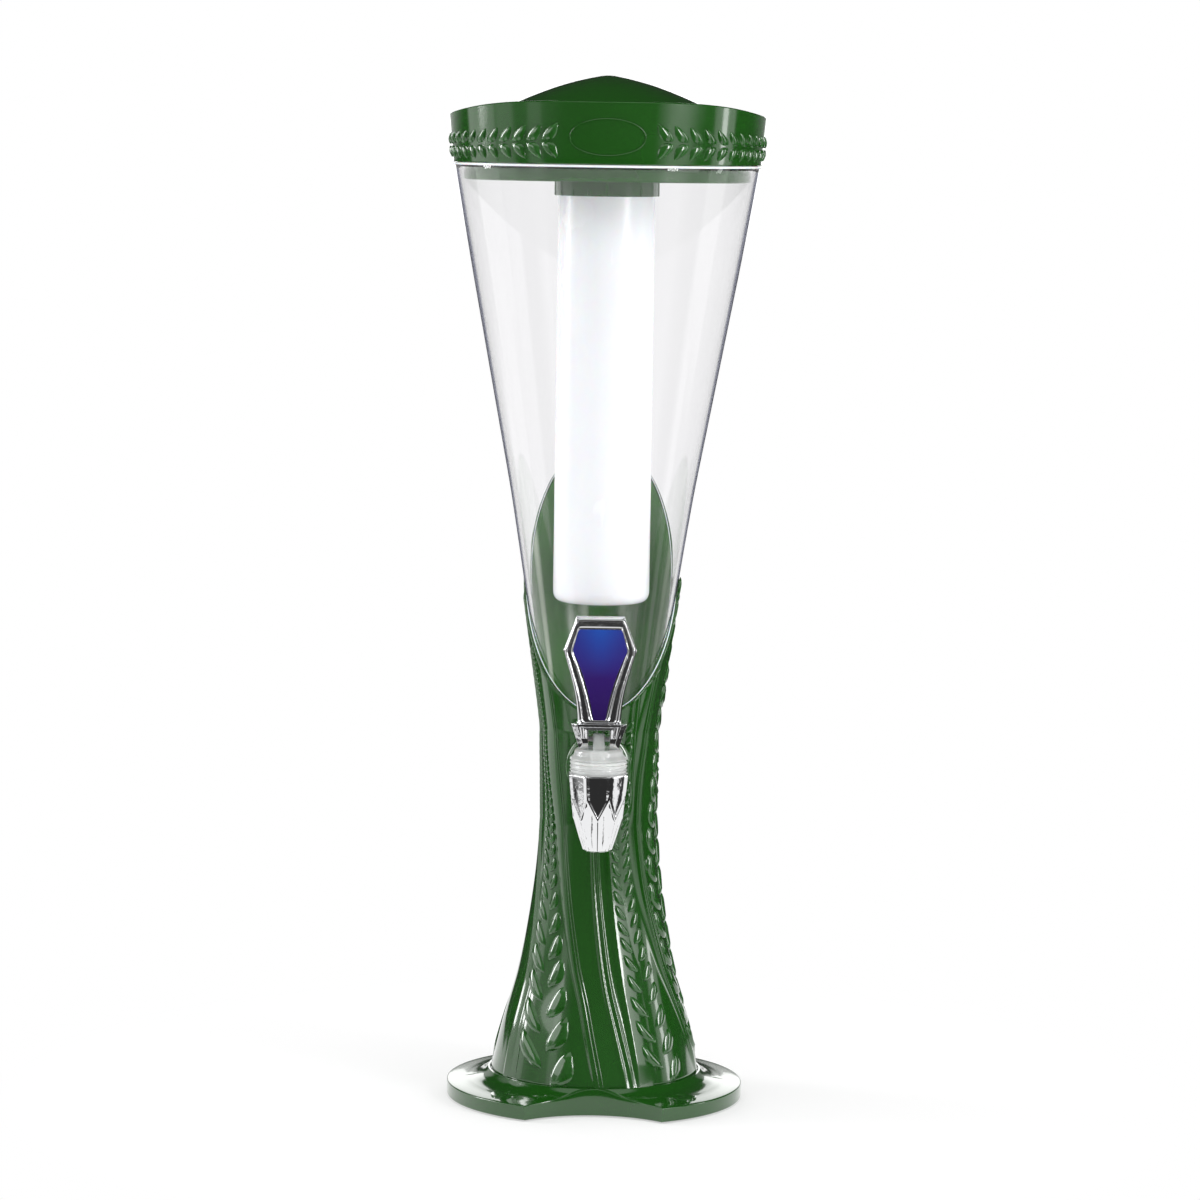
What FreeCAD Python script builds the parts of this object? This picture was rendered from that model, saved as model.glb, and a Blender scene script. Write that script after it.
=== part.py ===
import FreeCAD, Part
import math
import os

# Beer tower dispenser: a clear cone on a twisted hollow column, with a lid that
# carries an ice tube, and a tap with a cam handle.
# Millimetres, +Z up, origin on the table under the tower's axis, tap towards -Y.

# ---------------------------------------------------------------- rubber feet
FOOT_RADIUS = 7.5
FOOT_HEIGHT = 3.0
FOOT_CHAMFER = 0.6
FOOT_CIRCLE_RADIUS = 74.0
FOOT_COUNT = 4
FOOT_BOSS_MARGIN = 1.2

# ----------------------------------------------------------------- base plate
BASE_RADIUS = 89.0
BASE_RIM_LIFT = 1.0
BASE_RIM_THICKNESS = 8.6
BASE_EDGE_CHAMFER = 0.8
BASE_CROWN_THICKNESS = 16.0
# Share of the crown's rise at shares of the way in from the rim: flat, then steep at the foot.
BASE_CROWN_PROFILE = [(0.0, 0.0), (0.5, 0.15), (0.85, 0.5), (1.0, 1.0)]
BASE_WALL = 2.6
BASE_FLOOR_THICKNESS = 3.0
NOTCH_HALF_WIDTH = 40.5
NOTCH_MARGIN = 1.6
RECESS_DEPTH = 1.0
RECESS_CLEARANCE = 0.2
BASE_RIB_COUNT = 8
BASE_RIB_WIDTH = 1.8

# --------------------------------------------------------------------- column
COLUMN_FOOT_RADIUS = 62.4
COLUMN_WAIST_RADIUS = 34.4
COLUMN_WAIST_RISE = 154.0
COLUMN_WALL = 3.0
COLUMN_RIM_WALL = 1.75
COLUMN_WEB = 3.0
# Share of the foot's flare that is left at shares of the rise to the waist.
COLUMN_FLARE = [(0.0, 1.0), (0.19, 0.764), (0.383, 0.464), (0.578, 0.25), (0.773, 0.1), (1.0, 0.0)]
RIDGE_COUNT = 4
RIDGE_HEIGHT = 2.0
RIDGE_TOP_HEIGHT = 0.5
RIDGE_FADE_HEIGHT = 62.0
RIDGE_POWER = 3
# Turn of the ridges about the axis, in degrees, at shares of the column's height.
RIDGE_TWIST = [(0.0, 0.0), (0.178, -16.0), (0.401, -38.0), (0.653, -50.0), (1.0, -60.0)]
SECTION_COUNT = 12
SECTION_POINTS = 48
HOLLOW_SECTIONS = 4
MOUTH_FRONT_RISE = 21.5
MOUTH_RISE = 155.0
PAD_RADIUS = 19.5
PAD_ABOVE_SHANK = 7.0
PAD_STANDOFF = 4.6
PAD_EDGE_CHAMFER = 0.8
MOUTH_OVERRUN = 12.0

# --------------------------------------------------------------------- vessel
VESSEL_WALL = 2.6
VESSEL_SEAT_HEIGHT = 167.2
VESSEL_NECK_RADIUS = 31.0
VESSEL_CORNER_RADIUS = 6.0
NECK_ABOVE_SHANK = 17.0
VESSEL_TAIL_LENGTH = 149.0
VESSEL_CONE_BOTTOM_RADIUS = 54.4
VESSEL_CONE_LENGTH = 195.8
VESSEL_SHOULDER_RADIUS = 91.0
VESSEL_SPIGOT_LENGTH = 17.2
VESSEL_CLEARANCE = 0.15
VESSEL_BOSS_RADIUS = 15.0
VESSEL_BOSS_REACH = 1.6
VESSEL_BOSS_DEPTH = 5.8

# ------------------------------------------------------------------------ lid
LID_SEAT_GAP = 0.2
LID_OVERHANG = 0.8
LID_TOP_FLARE = 3.5
LID_WALL = 2.6
LID_FIT = 0.3
LID_SPIGOT_GAP = 4.6
LID_DECK_THICKNESS = 2.4
LID_RIM_HEIGHT = 12.0
LID_WAVE_HEIGHT = 7.8
LID_WAVE_POINTS = 32
PLUG_WALL = 2.0
PLUG_DEPTH = 34.0
SOCKET_DEPTH = 43.0
SOCKET_WALL = 1.6
SOCKET_FIT = 0.6

# ----------------------------------------------------------------------- dome
DOME_RADIUS = 74.0
DOME_EDGE_THICKNESS = 2.6
DOME_WALL = 2.2
DOME_HEIGHT = 27.8
# Soft cone of the dome: shares of its radius and of the drop from its tip to its edge.
DOME_PROFILE = [(0.0, 0.0), (0.08, 0.03), (0.24, 0.15), (0.43, 0.33), (0.64, 0.58), (1.0, 1.0)]
DOME_PLUG_DEPTH = 4.5
DOME_PLUG_WALL = 1.8
DOME_PLUG_FIT = 0.2

# ------------------------------------------------------------------- ice tube
TUBE_RADIUS = 28.8
TUBE_WALL = 2.0
TUBE_LENGTH = 277.8
TUBE_TOP_DEPTH = 7.0
TUBE_CORNER_RADIUS = 7.0
LUG_COUNT = 3
LUG_SPAN_DEG = 13.0
LUG_HEIGHT = 3.4
LUG_DEPTH = 5.0
LUG_REACH = 1.7
LUG_CLEARANCE = 0.3
LUG_TURN_DEG = 30.0

# ------------------------------------------------------------------------ tap
SPOUT_REACH = 62.0
SHANK_ABOVE_SEAT = 15.8
SHANK_RADIUS = 7.8
SHANK_BORE_RADIUS = 4.6
SHANK_TAIL_LENGTH = 3.0
SHANK_HOLE_CLEARANCE = 0.1
OUTER_WASHER_RADIUS = 14.5
INNER_WASHER_RADIUS = 11.5
WASHER_THICKNESS = 2.2
NUT_ACROSS_FLATS = 20.0
NUT_THICKNESS = 6.0
COLLAR_RADIUS = 16.0
COLLAR_THICKNESS = 3.0
BARREL_RADIUS = 11.5
CUP_SIDES = 8
CUP_HEIGHT = 46.0
CUP_BELOW_SHANK = 39.5
# Half-widths across the cup's upper facets, at its tip and at its rim.
CUP_FACET_TIP_WIDTH = 12.2
CUP_RIM_WIDTH = 16.3
# Half-width across the lower facets, as shares of the rim's, at shares of the cup's height.
CUP_LOWER_TIERS = [(0.0, 0.44), (0.185, 0.6), (0.38, 0.75), (0.685, 0.99), (1.0, 1.19)]
OUTLET_LENGTH = 27.5
OUTLET_RADIUS = 5.2
CHAMBER_RADIUS = 12.0
NECK_WALL = 1.5
NECK_HEIGHT = 5.5

# --------------------------------------------------------------------- bonnet
BONNET_RADIUS = 17.0
BONNET_TIER_HEIGHT = 10.0
BONNET_CAP_RADIUS = 13.9
BONNET_CAP_HEIGHT = 4.7
BONNET_CHAMFER = 1.0
BONNET_FIT = 0.1
GASKET_THICKNESS = 1.2
GASKET_HOLE_RADIUS = 8.0

# -------------------------------------------------------------- stem and seat
STEM_RADIUS = 3.5
STEM_FIT = 0.08
STEM_CHAMFER = 0.6
STEM_ABOVE_PIN = 3.4
SEAT_RADIUS = 7.8
SEAT_THICKNESS = 5.0
SEAT_GAP = 0.1
SEAT_NOSE = 2.0
STEM_IN_SEAT = 3.0
SPRING_RADIUS = 6.2
SPRING_WIRE_RADIUS = 0.45
SPRING_TURNS = 5
SPRING_STEPS = 12
SPRING_SIDES = 6
SPRING_END_GAP = 0.1

# --------------------------------------------------------------------- handle
PIN_RADIUS = 1.5
PIN_FIT = 0.05
PIN_ABOVE_BONNET = 5.4
PIN_END_REACH = 0.6
CAM_GAP = 0.15
CAM_RISE_PER_RADIAN = 5.09
CAM_TURN_DEG = 50.0
CAM_RELIEF_DEG = 8.0
CAM_POINTS = 11
FORK_SLOT_WIDTH = 6.3
FORK_BOTTOM_WIDTH = 11.4
FORK_TOP_WIDTH = 16.3
FORK_BOTTOM_DEPTH = 11.2
FORK_TOP_DEPTH = 12.6
FORK_HEIGHT = 15.4
FORK_CORNER = 3.2
FORK_ROOF_THICKNESS = 3.2
HANDLE_HEIGHT = 62.0
HANDLE_NECK_WIDTH = 12.6
HANDLE_WAIST_WIDTH = 14.0
HANDLE_WAIST_SHARE = 0.34
HANDLE_WIDE_WIDTH = 21.4
HANDLE_WIDE_DROP = 19.4
HANDLE_TOP_WIDTH = 14.2
HANDLE_FRONT_DEPTH = 6.0
HANDLE_BACK_DEPTH = 5.0
HANDLE_BEVEL = 2.2
BADGE_TOP_WIDTH = 12.7
BADGE_TOP_DROP = 7.0
BADGE_WIDE_WIDTH = 16.0
BADGE_WAIST_WIDTH = 7.4
BADGE_WAIST_SHARE = 0.45
BADGE_FOOT_WIDTH = 3.6
BADGE_FOOT_LIFT = 1.6
BADGE_DEPTH = 1.2
BADGE_THICKNESS = 1.6
BADGE_GAP = 0.1

# --------------------------------------------------------------------- screws
SCREW_CIRCLE_RADIUS = 52.0
SCREW_COUNT = 4
SCREW_RADIUS = 1.5
SCREW_FIT = 0.1
SCREW_HEAD_RADIUS = 3.4
SCREW_HEAD_HEIGHT = 2.0
SCREW_BITE = 10.0
SCREW_TIP_CLEARANCE = 2.0
SCREW_BOSS_RADIUS = 5.0
SCREW_BOSS_HEIGHT = 24.0

# How far a cutting shape runs past what it cuts.
OVERCUT = 1.0

# --------------------------------------------- heights, from the table upwards
BASE_RIM_TOP = BASE_RIM_LIFT + BASE_RIM_THICKNESS
BASE_CROWN_TOP = BASE_RIM_LIFT + BASE_CROWN_THICKNESS
COLUMN_FOOT = BASE_CROWN_TOP - RECESS_DEPTH
BASE_FLOOR_UNDER = COLUMN_FOOT - BASE_FLOOR_THICKNESS
VESSEL_BOTTOM = COLUMN_FOOT + VESSEL_SEAT_HEIGHT
WEB_TOP = VESSEL_BOTTOM - VESSEL_CLEARANCE
SHANK_HEIGHT = VESSEL_BOTTOM + SHANK_ABOVE_SEAT
PAD_HEIGHT = SHANK_HEIGHT + PAD_ABOVE_SHANK
VESSEL_NECK_TOP = SHANK_HEIGHT + NECK_ABOVE_SHANK
MOUTH_FRONT_HEIGHT = VESSEL_NECK_TOP + MOUTH_FRONT_RISE
MOUTH_BACK_HEIGHT = MOUTH_FRONT_HEIGHT + MOUTH_RISE
COLUMN_TOP = MOUTH_BACK_HEIGHT + MOUTH_OVERRUN
VESSEL_CONE_BOTTOM = VESSEL_NECK_TOP + VESSEL_TAIL_LENGTH
VESSEL_SHOULDER = VESSEL_CONE_BOTTOM + VESSEL_CONE_LENGTH
VESSEL_TOP = VESSEL_SHOULDER + VESSEL_SPIGOT_LENGTH
LID_BOTTOM = VESSEL_SHOULDER + LID_SEAT_GAP
LID_DECK_TOP = VESSEL_TOP + LID_SPIGOT_GAP + LID_DECK_THICKNESS
LID_CREST = LID_DECK_TOP + LID_RIM_HEIGHT
DOME_TOP = LID_DECK_TOP + DOME_HEIGHT
TUBE_TOP = LID_DECK_TOP - TUBE_TOP_DEPTH
TUBE_BOTTOM = TUBE_TOP - TUBE_LENGTH
LUG_TOP = TUBE_TOP - LUG_DEPTH
SOCKET_BOTTOM = LID_DECK_TOP - SOCKET_DEPTH
TAP_TIP = SHANK_HEIGHT - CUP_BELOW_SHANK
TAP_RIM = TAP_TIP + CUP_HEIGHT
SEAT_HEIGHT = TAP_TIP + OUTLET_LENGTH
GASKET_BOTTOM = TAP_RIM + NECK_HEIGHT
BONNET_ROOF = GASKET_BOTTOM + GASKET_THICKNESS
BONNET_TOP = TAP_RIM + BONNET_TIER_HEIGHT + BONNET_CAP_HEIGHT
PIN_HEIGHT = BONNET_TOP + PIN_ABOVE_BONNET
STEM_TOP = PIN_HEIGHT + STEM_ABOVE_PIN
SEAT_BOTTOM = SEAT_HEIGHT + SEAT_GAP
SEAT_TOP = SEAT_BOTTOM + SEAT_THICKNESS
FORK_BOTTOM = BONNET_TOP + CAM_GAP
FORK_TOP = FORK_BOTTOM + FORK_HEIGHT
HANDLE_TOP = FORK_TOP + HANDLE_HEIGHT

# ------------------------------------------------------- radii and depths
RECESS_RADIUS = COLUMN_FOOT_RADIUS + RECESS_CLEARANCE
NOTCH_DEPTH_RADIUS = RECESS_RADIUS + NOTCH_MARGIN
VESSEL_TAPER = (VESSEL_SHOULDER_RADIUS - VESSEL_CONE_BOTTOM_RADIUS) / VESSEL_CONE_LENGTH
VESSEL_BOSS_FACE = VESSEL_NECK_RADIUS + VESSEL_BOSS_REACH
VESSEL_INNER_FLAT = VESSEL_NECK_RADIUS - VESSEL_BOSS_DEPTH
MOUTH_RADIUS = VESSEL_SHOULDER_RADIUS - LID_WALL - LID_FIT
SOCKET_RADIUS = TUBE_RADIUS + SOCKET_FIT
SPOUT_Y = -SPOUT_REACH
PAD_FRONT = -COLUMN_WAIST_RADIUS - PAD_STANDOFF
COLLAR_FRONT = PAD_FRONT - WASHER_THICKNESS - COLLAR_THICKNESS
INNER_WASHER_FRONT = -VESSEL_INNER_FLAT
NUT_FRONT = INNER_WASHER_FRONT + WASHER_THICKNESS
SHANK_END = NUT_FRONT + NUT_THICKNESS + SHANK_TAIL_LENGTH
NECK_RADIUS = CHAMBER_RADIUS + NECK_WALL

UP = FreeCAD.Vector(0, 0, 1)
ALONG_X = FreeCAD.Vector(1, 0, 0)
ALONG_Y = FreeCAD.Vector(0, 1, 0)
CENTRE = FreeCAD.Vector(0, 0, 0)


# ------------------------------------------------------------ drawing helpers
def at(radius, height):
    """Point of a lathe profile, in the plane through the axis and +X."""
    return FreeCAD.Vector(radius, 0, height)


def polar(radius, angle_deg, height=0.0):
    """Point at an angle counted from the front (-Y) towards +X."""
    angle = math.radians(angle_deg)
    return FreeCAD.Vector(radius * math.sin(angle), -radius * math.cos(angle), height)


def lines(points):
    """Straight edges through the points in turn."""
    return [Part.makeLine(a, b) for a, b in zip(points, points[1:])]


def curve(points):
    """Smooth edge through the points in turn."""
    spline = Part.BSplineCurve()
    spline.interpolate(points)
    return spline.toShape()


def arc(start, middle, end):
    """Arc edge through three points."""
    return Part.Arc(start, middle, end).toShape()


def flat_face(edges):
    """Planar face inside a closed run of edges."""
    return Part.Face(Part.Wire(edges))


def lathe(edges):
    """Solid turned about the tower's axis from a closed run of edges."""
    return flat_face(edges).revolve(CENTRE, UP, 360)


def turned(points):
    """Solid turned about the tower's axis from a closed polygon."""
    return lathe(lines(points + points[:1]))


def tube(outer, inner, bottom, top):
    """Straight ring about the tower's axis."""
    return turned([at(inner, bottom), at(outer, bottom), at(outer, top), at(inner, top)])


def rod_y(radius, front, back, height):
    """Cylinder along Y between two depths, centred on the tap's middle plane."""
    return Part.makeCylinder(radius, back - front, FreeCAD.Vector(0, front, height), ALONG_Y)


def ring_copies(shape, count, offset_deg=0.0):
    """Copies of a shape spread evenly about the axis."""
    copies = []
    for index in range(count):
        copy = shape.copy()
        copy.rotate(CENTRE, UP, offset_deg + 360.0 * index / count)
        copies.append(copy)
    return copies


def along(stations, place):
    """Value of a smooth curve through (place, value) stations, held flat outside them."""
    if place <= stations[0][0]:
        return stations[0][1]
    if place >= stations[-1][0]:
        return stations[-1][1]
    index = max(i for i, station in enumerate(stations) if station[0] <= place)
    slopes = []
    for i in (index, index + 1):
        before = stations[max(i - 1, 0)]
        after = stations[min(i + 1, len(stations) - 1)]
        slopes.append((after[1] - before[1]) / (after[0] - before[0]))
    (x0, y0), (x1, y1) = stations[index], stations[index + 1]
    span = x1 - x0
    t = (place - x0) / span
    rise = y0 * (1 + 2 * t) * (1 - t) ** 2 + y1 * t * t * (3 - 2 * t)
    return rise + span * (slopes[0] * t * (1 - t) ** 2 - slopes[1] * t * t * (1 - t))


# ----------------------------------------------------------------- base parts
def notch_cutters(wall):
    """Front and back scoops of the base's outline, grown by a wall."""
    corner = math.sqrt(BASE_RADIUS ** 2 - NOTCH_HALF_WIDTH ** 2)
    depth = corner - NOTCH_DEPTH_RADIUS
    radius = (NOTCH_HALF_WIDTH ** 2 + depth ** 2) / (2 * depth)
    centre = NOTCH_DEPTH_RADIUS + radius
    places = [FreeCAD.Vector(0, side * centre, 0) for side in (-1, 1)]
    return [Part.makeCylinder(radius + wall, 2 * BASE_CROWN_TOP, place) for place in places]


def base_body(inset):
    """Disc whose crown sweeps up to the column's foot, drawn in by a wall."""
    radius = BASE_RADIUS - inset
    rim = BASE_RIM_TOP - inset
    crown = BASE_CROWN_TOP - inset
    low = BASE_RIM_LIFT - inset
    edge = radius - BASE_EDGE_CHAMFER
    outline = [at(0, crown), at(0, low), at(radius, low), at(radius, rim - BASE_EDGE_CHAMFER)]
    for inward, rise in BASE_CROWN_PROFILE:
        height = rim + (crown - rim) * rise
        outline.append(at(edge + (NOTCH_DEPTH_RADIUS - edge) * inward, height))
    return turned(outline).cut(notch_cutters(inset))


def base_plate():
    floor_thickness = BASE_CROWN_TOP - BASE_FLOOR_UNDER
    floor = Part.makeCylinder(RECESS_RADIUS, floor_thickness, at(0, BASE_FLOOR_UNDER))
    boss_radius = FOOT_RADIUS + FOOT_BOSS_MARGIN
    boss_place = polar(FOOT_CIRCLE_RADIUS, 0, FOOT_HEIGHT)
    boss = Part.makeCylinder(boss_radius, BASE_CROWN_TOP, boss_place)
    bosses = ring_copies(boss, FOOT_COUNT, 180.0 / FOOT_COUNT)
    rib_start = RECESS_RADIUS - BASE_WALL
    rib_corner = FreeCAD.Vector(rib_start, -BASE_RIB_WIDTH / 2, FOOT_HEIGHT)
    rib = Part.makeBox(BASE_RADIUS - rib_start, BASE_RIB_WIDTH, BASE_CROWN_TOP, rib_corner)
    hollow = base_body(BASE_WALL).cut([floor] + bosses + ring_copies(rib, BASE_RIB_COUNT))
    recess = Part.makeCylinder(RECESS_RADIUS, BASE_CROWN_TOP, at(0, COLUMN_FOOT))
    hole_radius = SCREW_RADIUS + SCREW_FIT
    hole = Part.makeCylinder(hole_radius, BASE_CROWN_TOP, polar(SCREW_CIRCLE_RADIUS, 0))
    holes = ring_copies(hole, SCREW_COUNT, 180.0 / SCREW_COUNT)
    return base_body(0.0).cut(hollow).cut([recess] + holes).removeSplitter()


def rubber_feet():
    foot = Part.makeCylinder(FOOT_RADIUS, FOOT_HEIGHT, polar(FOOT_CIRCLE_RADIUS, 0))
    foot = foot.makeChamfer(FOOT_CHAMFER, [min(foot.Edges, key=lambda e: e.CenterOfMass.z)])
    return Part.makeCompound(ring_copies(foot, FOOT_COUNT, 180.0 / FOOT_COUNT))


def base_screws():
    shank_place = polar(SCREW_CIRCLE_RADIUS, 0, BASE_FLOOR_UNDER)
    head_place = polar(SCREW_CIRCLE_RADIUS, 0, BASE_FLOOR_UNDER - SCREW_HEAD_HEIGHT)
    shank = Part.makeCylinder(SCREW_RADIUS, BASE_FLOOR_THICKNESS + SCREW_BITE, shank_place)
    head = Part.makeCylinder(SCREW_HEAD_RADIUS, SCREW_HEAD_HEIGHT, head_place)
    screw = shank.fuse(head).removeSplitter()
    return Part.makeCompound(ring_copies(screw, SCREW_COUNT, 180.0 / SCREW_COUNT))


# --------------------------------------------------------------------- vessel
def vessel_radius(height):
    """Outer radius of the vessel from its neck up: a slender tail, then the wider cone."""
    share = min(1.0, max(0.0, (height - VESSEL_NECK_TOP) / VESSEL_TAIL_LENGTH))
    tail = VESSEL_NECK_RADIUS + (VESSEL_CONE_BOTTOM_RADIUS - VESSEL_NECK_RADIUS) * share
    return tail + VESSEL_TAPER * max(0.0, height - VESSEL_CONE_BOTTOM)


def eased_corner(radius, bottom, corner):
    """Points of the eased corner between a flat bottom and an upright wall."""
    slack = corner * (1 - math.sqrt(0.5))
    middle = at(radius - slack, bottom + slack)
    return [at(radius - corner, bottom), middle, at(radius, bottom + corner)]


def vessel_blank(offset, top):
    """Solid of the vessel's outer form, moved outwards by an offset, up to a height."""
    bottom = VESSEL_BOTTOM - offset
    corner = VESSEL_CORNER_RADIUS + offset
    outline = [at(0, top), at(0, bottom)]
    outline += eased_corner(VESSEL_NECK_RADIUS + offset, bottom, corner)
    for level in (VESSEL_NECK_TOP, VESSEL_CONE_BOTTOM, top):
        outline.append(at(vessel_radius(level) + offset, level))
    return turned(outline)


def vessel():
    ledge = VESSEL_SHOULDER - VESSEL_WALL
    spigot_length = VESSEL_TOP - ledge
    spigot = Part.makeCylinder(MOUTH_RADIUS, spigot_length, at(0, ledge))
    hollow = vessel_blank(-VESSEL_WALL, ledge)
    mouth_radius = MOUTH_RADIUS - VESSEL_WALL
    mouth = Part.makeCylinder(mouth_radius, spigot_length + 2 * OVERCUT, at(0, ledge - OVERCUT))
    boss = rod_y(VESSEL_BOSS_RADIUS, -VESSEL_BOSS_FACE, INNER_WASHER_FRONT, SHANK_HEIGHT)
    hole = shank_hole(-VESSEL_BOSS_FACE, INNER_WASHER_FRONT)
    body = vessel_blank(0.0, VESSEL_SHOULDER).fuse(spigot).cut([hollow, mouth])
    return body.fuse(boss).cut(hole).removeSplitter()


# --------------------------------------------------------------------- column
def column_radius(height):
    """Radius of the column between its ridges."""
    flare = COLUMN_FOOT_RADIUS - COLUMN_WAIST_RADIUS
    share = along(COLUMN_FLARE, (height - COLUMN_FOOT) / COLUMN_WAIST_RISE)
    hugging = vessel_radius(height) + VESSEL_CLEARANCE + COLUMN_RIM_WALL
    return max(COLUMN_WAIST_RADIUS + flare * share, hugging)


def ridge_height(height):
    """Ridges grow out of the round foot and thin again towards the mouth."""
    growth = min(1.0, (height - COLUMN_FOOT) / RIDGE_FADE_HEIGHT)
    thinning = max(0.0, min(1.0, (height - VESSEL_NECK_TOP) / VESSEL_TAIL_LENGTH))
    top = RIDGE_HEIGHT + (RIDGE_TOP_HEIGHT - RIDGE_HEIGHT) * thinning
    return top * growth * growth * (3 - 2 * growth)


def column_section(height):
    """Closed outline of the twisted column at one height."""
    radius = column_radius(height)
    lift = ridge_height(height)
    turn = along(RIDGE_TWIST, (height - COLUMN_FOOT) / (COLUMN_TOP - COLUMN_FOOT))
    points = []
    for step in range(SECTION_POINTS):
        angle = 360.0 * step / SECTION_POINTS
        wave = math.cos(math.radians(RIDGE_COUNT * (angle - turn)))
        points.append(polar(radius + lift * ((1 + wave) / 2) ** RIDGE_POWER, angle, height))
    return Part.makePolygon(points + points[:1])


def mouth_cutter():
    """Everything above the oblique plane of the column's mouth."""
    front = column_radius(MOUTH_FRONT_HEIGHT)
    back = column_radius(MOUTH_BACK_HEIGHT)
    slope = MOUTH_RISE / (front + back)
    reach = 2 * back
    top = COLUMN_TOP + slope * reach
    outline = [
        FreeCAD.Vector(-reach, -front - reach, MOUTH_FRONT_HEIGHT - slope * reach),
        FreeCAD.Vector(-reach, back + reach, MOUTH_BACK_HEIGHT + slope * reach),
        FreeCAD.Vector(-reach, back + reach, top + slope * reach),
        FreeCAD.Vector(-reach, -front - reach, top),
    ]
    return flat_face(lines(outline + outline[:1])).extrude(FreeCAD.Vector(2 * reach, 0, 0))


def column_hollow():
    """Space inside the column below the web that carries the vessel."""
    top = WEB_TOP - COLUMN_WEB
    step = (top - COLUMN_FOOT) / HOLLOW_SECTIONS
    levels = [COLUMN_FOOT + step * i for i in range(HOLLOW_SECTIONS + 1)]
    side = [at(column_radius(level) - COLUMN_WALL, level) for level in levels]
    return turned([at(0, top), at(0, COLUMN_FOOT)] + side)


def shank_hole(front, back):
    """Clearance hole for the tap's shank between two depths."""
    return rod_y(SHANK_RADIUS + SHANK_HOLE_CLEARANCE, front - OVERCUT, back + OVERCUT, SHANK_HEIGHT)


def column():
    step = (COLUMN_TOP - COLUMN_FOOT) / (SECTION_COUNT - 1)
    sections = [column_section(COLUMN_FOOT + step * i) for i in range(SECTION_COUNT)]
    pad = rod_y(PAD_RADIUS, PAD_FRONT, -VESSEL_NECK_RADIUS, PAD_HEIGHT)
    pad = pad.makeChamfer(PAD_EDGE_CHAMFER, [min(pad.Edges, key=lambda e: e.CenterOfMass.y)])
    nest = vessel_blank(VESSEL_CLEARANCE, COLUMN_TOP + OVERCUT)
    pocket_radius = VESSEL_BOSS_RADIUS + VESSEL_CLEARANCE
    pocket_front = -VESSEL_BOSS_FACE - VESSEL_CLEARANCE
    pocket = rod_y(pocket_radius, pocket_front, INNER_WASHER_FRONT, SHANK_HEIGHT)
    cuts = [nest, pocket, mouth_cutter(), column_hollow()]
    body = Part.makeLoft(sections, True, True).fuse(pad).cut(cuts)
    screw_place = polar(SCREW_CIRCLE_RADIUS, 0, COLUMN_FOOT)
    boss = Part.makeCylinder(SCREW_BOSS_RADIUS, SCREW_BOSS_HEIGHT, screw_place)
    pilot_depth = SCREW_BITE + SCREW_TIP_CLEARANCE
    pilot = Part.makeCylinder(SCREW_RADIUS + SCREW_FIT / 2, pilot_depth, screw_place)
    bosses = ring_copies(boss, SCREW_COUNT, 180.0 / SCREW_COUNT)
    pilots = ring_copies(pilot, SCREW_COUNT, 180.0 / SCREW_COUNT)
    hole = shank_hole(PAD_FRONT, INNER_WASHER_FRONT)
    return body.fuse(bosses).cut(pilots + [hole]).removeSplitter()


# ------------------------------------------------------------------------ lid
def wave_cutter():
    """Space above the lid's waved rim: high at front and back, low at the sides."""
    rails = []
    for radius in (TUBE_RADIUS, 2 * VESSEL_SHOULDER_RADIUS):
        points = []
        for step in range(LID_WAVE_POINTS):
            angle = 360.0 * step / LID_WAVE_POINTS
            dip = LID_WAVE_HEIGHT * math.sin(math.radians(angle)) ** 4
            points.append(polar(radius, angle, LID_CREST - dip))
        rail = Part.BSplineCurve()
        rail.interpolate(Points=points, PeriodicFlag=True)
        rails.append(rail.toShape())
    depth = LID_WAVE_HEIGHT + 2 * OVERCUT
    return Part.makeRuledSurface(rails[0], rails[1]).extrude(FreeCAD.Vector(0, 0, depth))


def socket_slots():
    """L-shaped bayonet ways through the socket's wall, entered from below."""
    inner = SOCKET_RADIUS - LUG_CLEARANCE
    outer = SOCKET_RADIUS + SOCKET_WALL + OVERCUT
    span = LUG_SPAN_DEG + 2 * math.degrees(LUG_CLEARANCE / SOCKET_RADIUS)
    high = LUG_TOP + LUG_CLEARANCE
    shelf = LUG_TOP - LUG_HEIGHT - LUG_CLEARANCE
    ways = []
    for way_span, low in ((span + LUG_TURN_DEG, shelf), (span, SOCKET_BOTTOM - OVERCUT)):
        wedge = Part.makeCylinder(outer, high - low, at(0, low), UP, way_span)
        wedge = wedge.cut(Part.makeCylinder(inner, high - low, at(0, low)))
        wedge.rotate(CENTRE, UP, -span / 2 - LUG_TURN_DEG)
        ways.append(wedge)
    return ring_copies(ways[0].fuse(ways[1]), LUG_COUNT)


def lid():
    under = LID_DECK_TOP - LID_DECK_THICKNESS
    crest = LID_CREST + OVERCUT
    bottom = VESSEL_SHOULDER_RADIUS + LID_OVERHANG
    flare_slope = LID_TOP_FLARE / (LID_CREST - LID_BOTTOM)
    top = bottom + flare_slope * (crest - LID_BOTTOM)
    channel = bottom - LID_WALL
    plug = MOUTH_RADIUS - VESSEL_WALL - LID_FIT
    plug_bottom = LID_DECK_TOP - PLUG_DEPTH
    outline = [
        at(bottom, LID_BOTTOM),
        at(top, crest),
        at(top - LID_WALL, crest),
        at(top - LID_WALL, LID_DECK_TOP),
        at(SOCKET_RADIUS, LID_DECK_TOP),
        at(SOCKET_RADIUS, SOCKET_BOTTOM),
        at(SOCKET_RADIUS + SOCKET_WALL, SOCKET_BOTTOM),
        at(SOCKET_RADIUS + SOCKET_WALL, under),
        at(plug - PLUG_WALL, under),
        at(plug - PLUG_WALL, plug_bottom),
        at(plug, plug_bottom),
        at(plug, under),
        at(channel, under),
        at(channel, LID_BOTTOM),
    ]
    return turned(outline).cut([wave_cutter()] + socket_slots()).removeSplitter()


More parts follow.
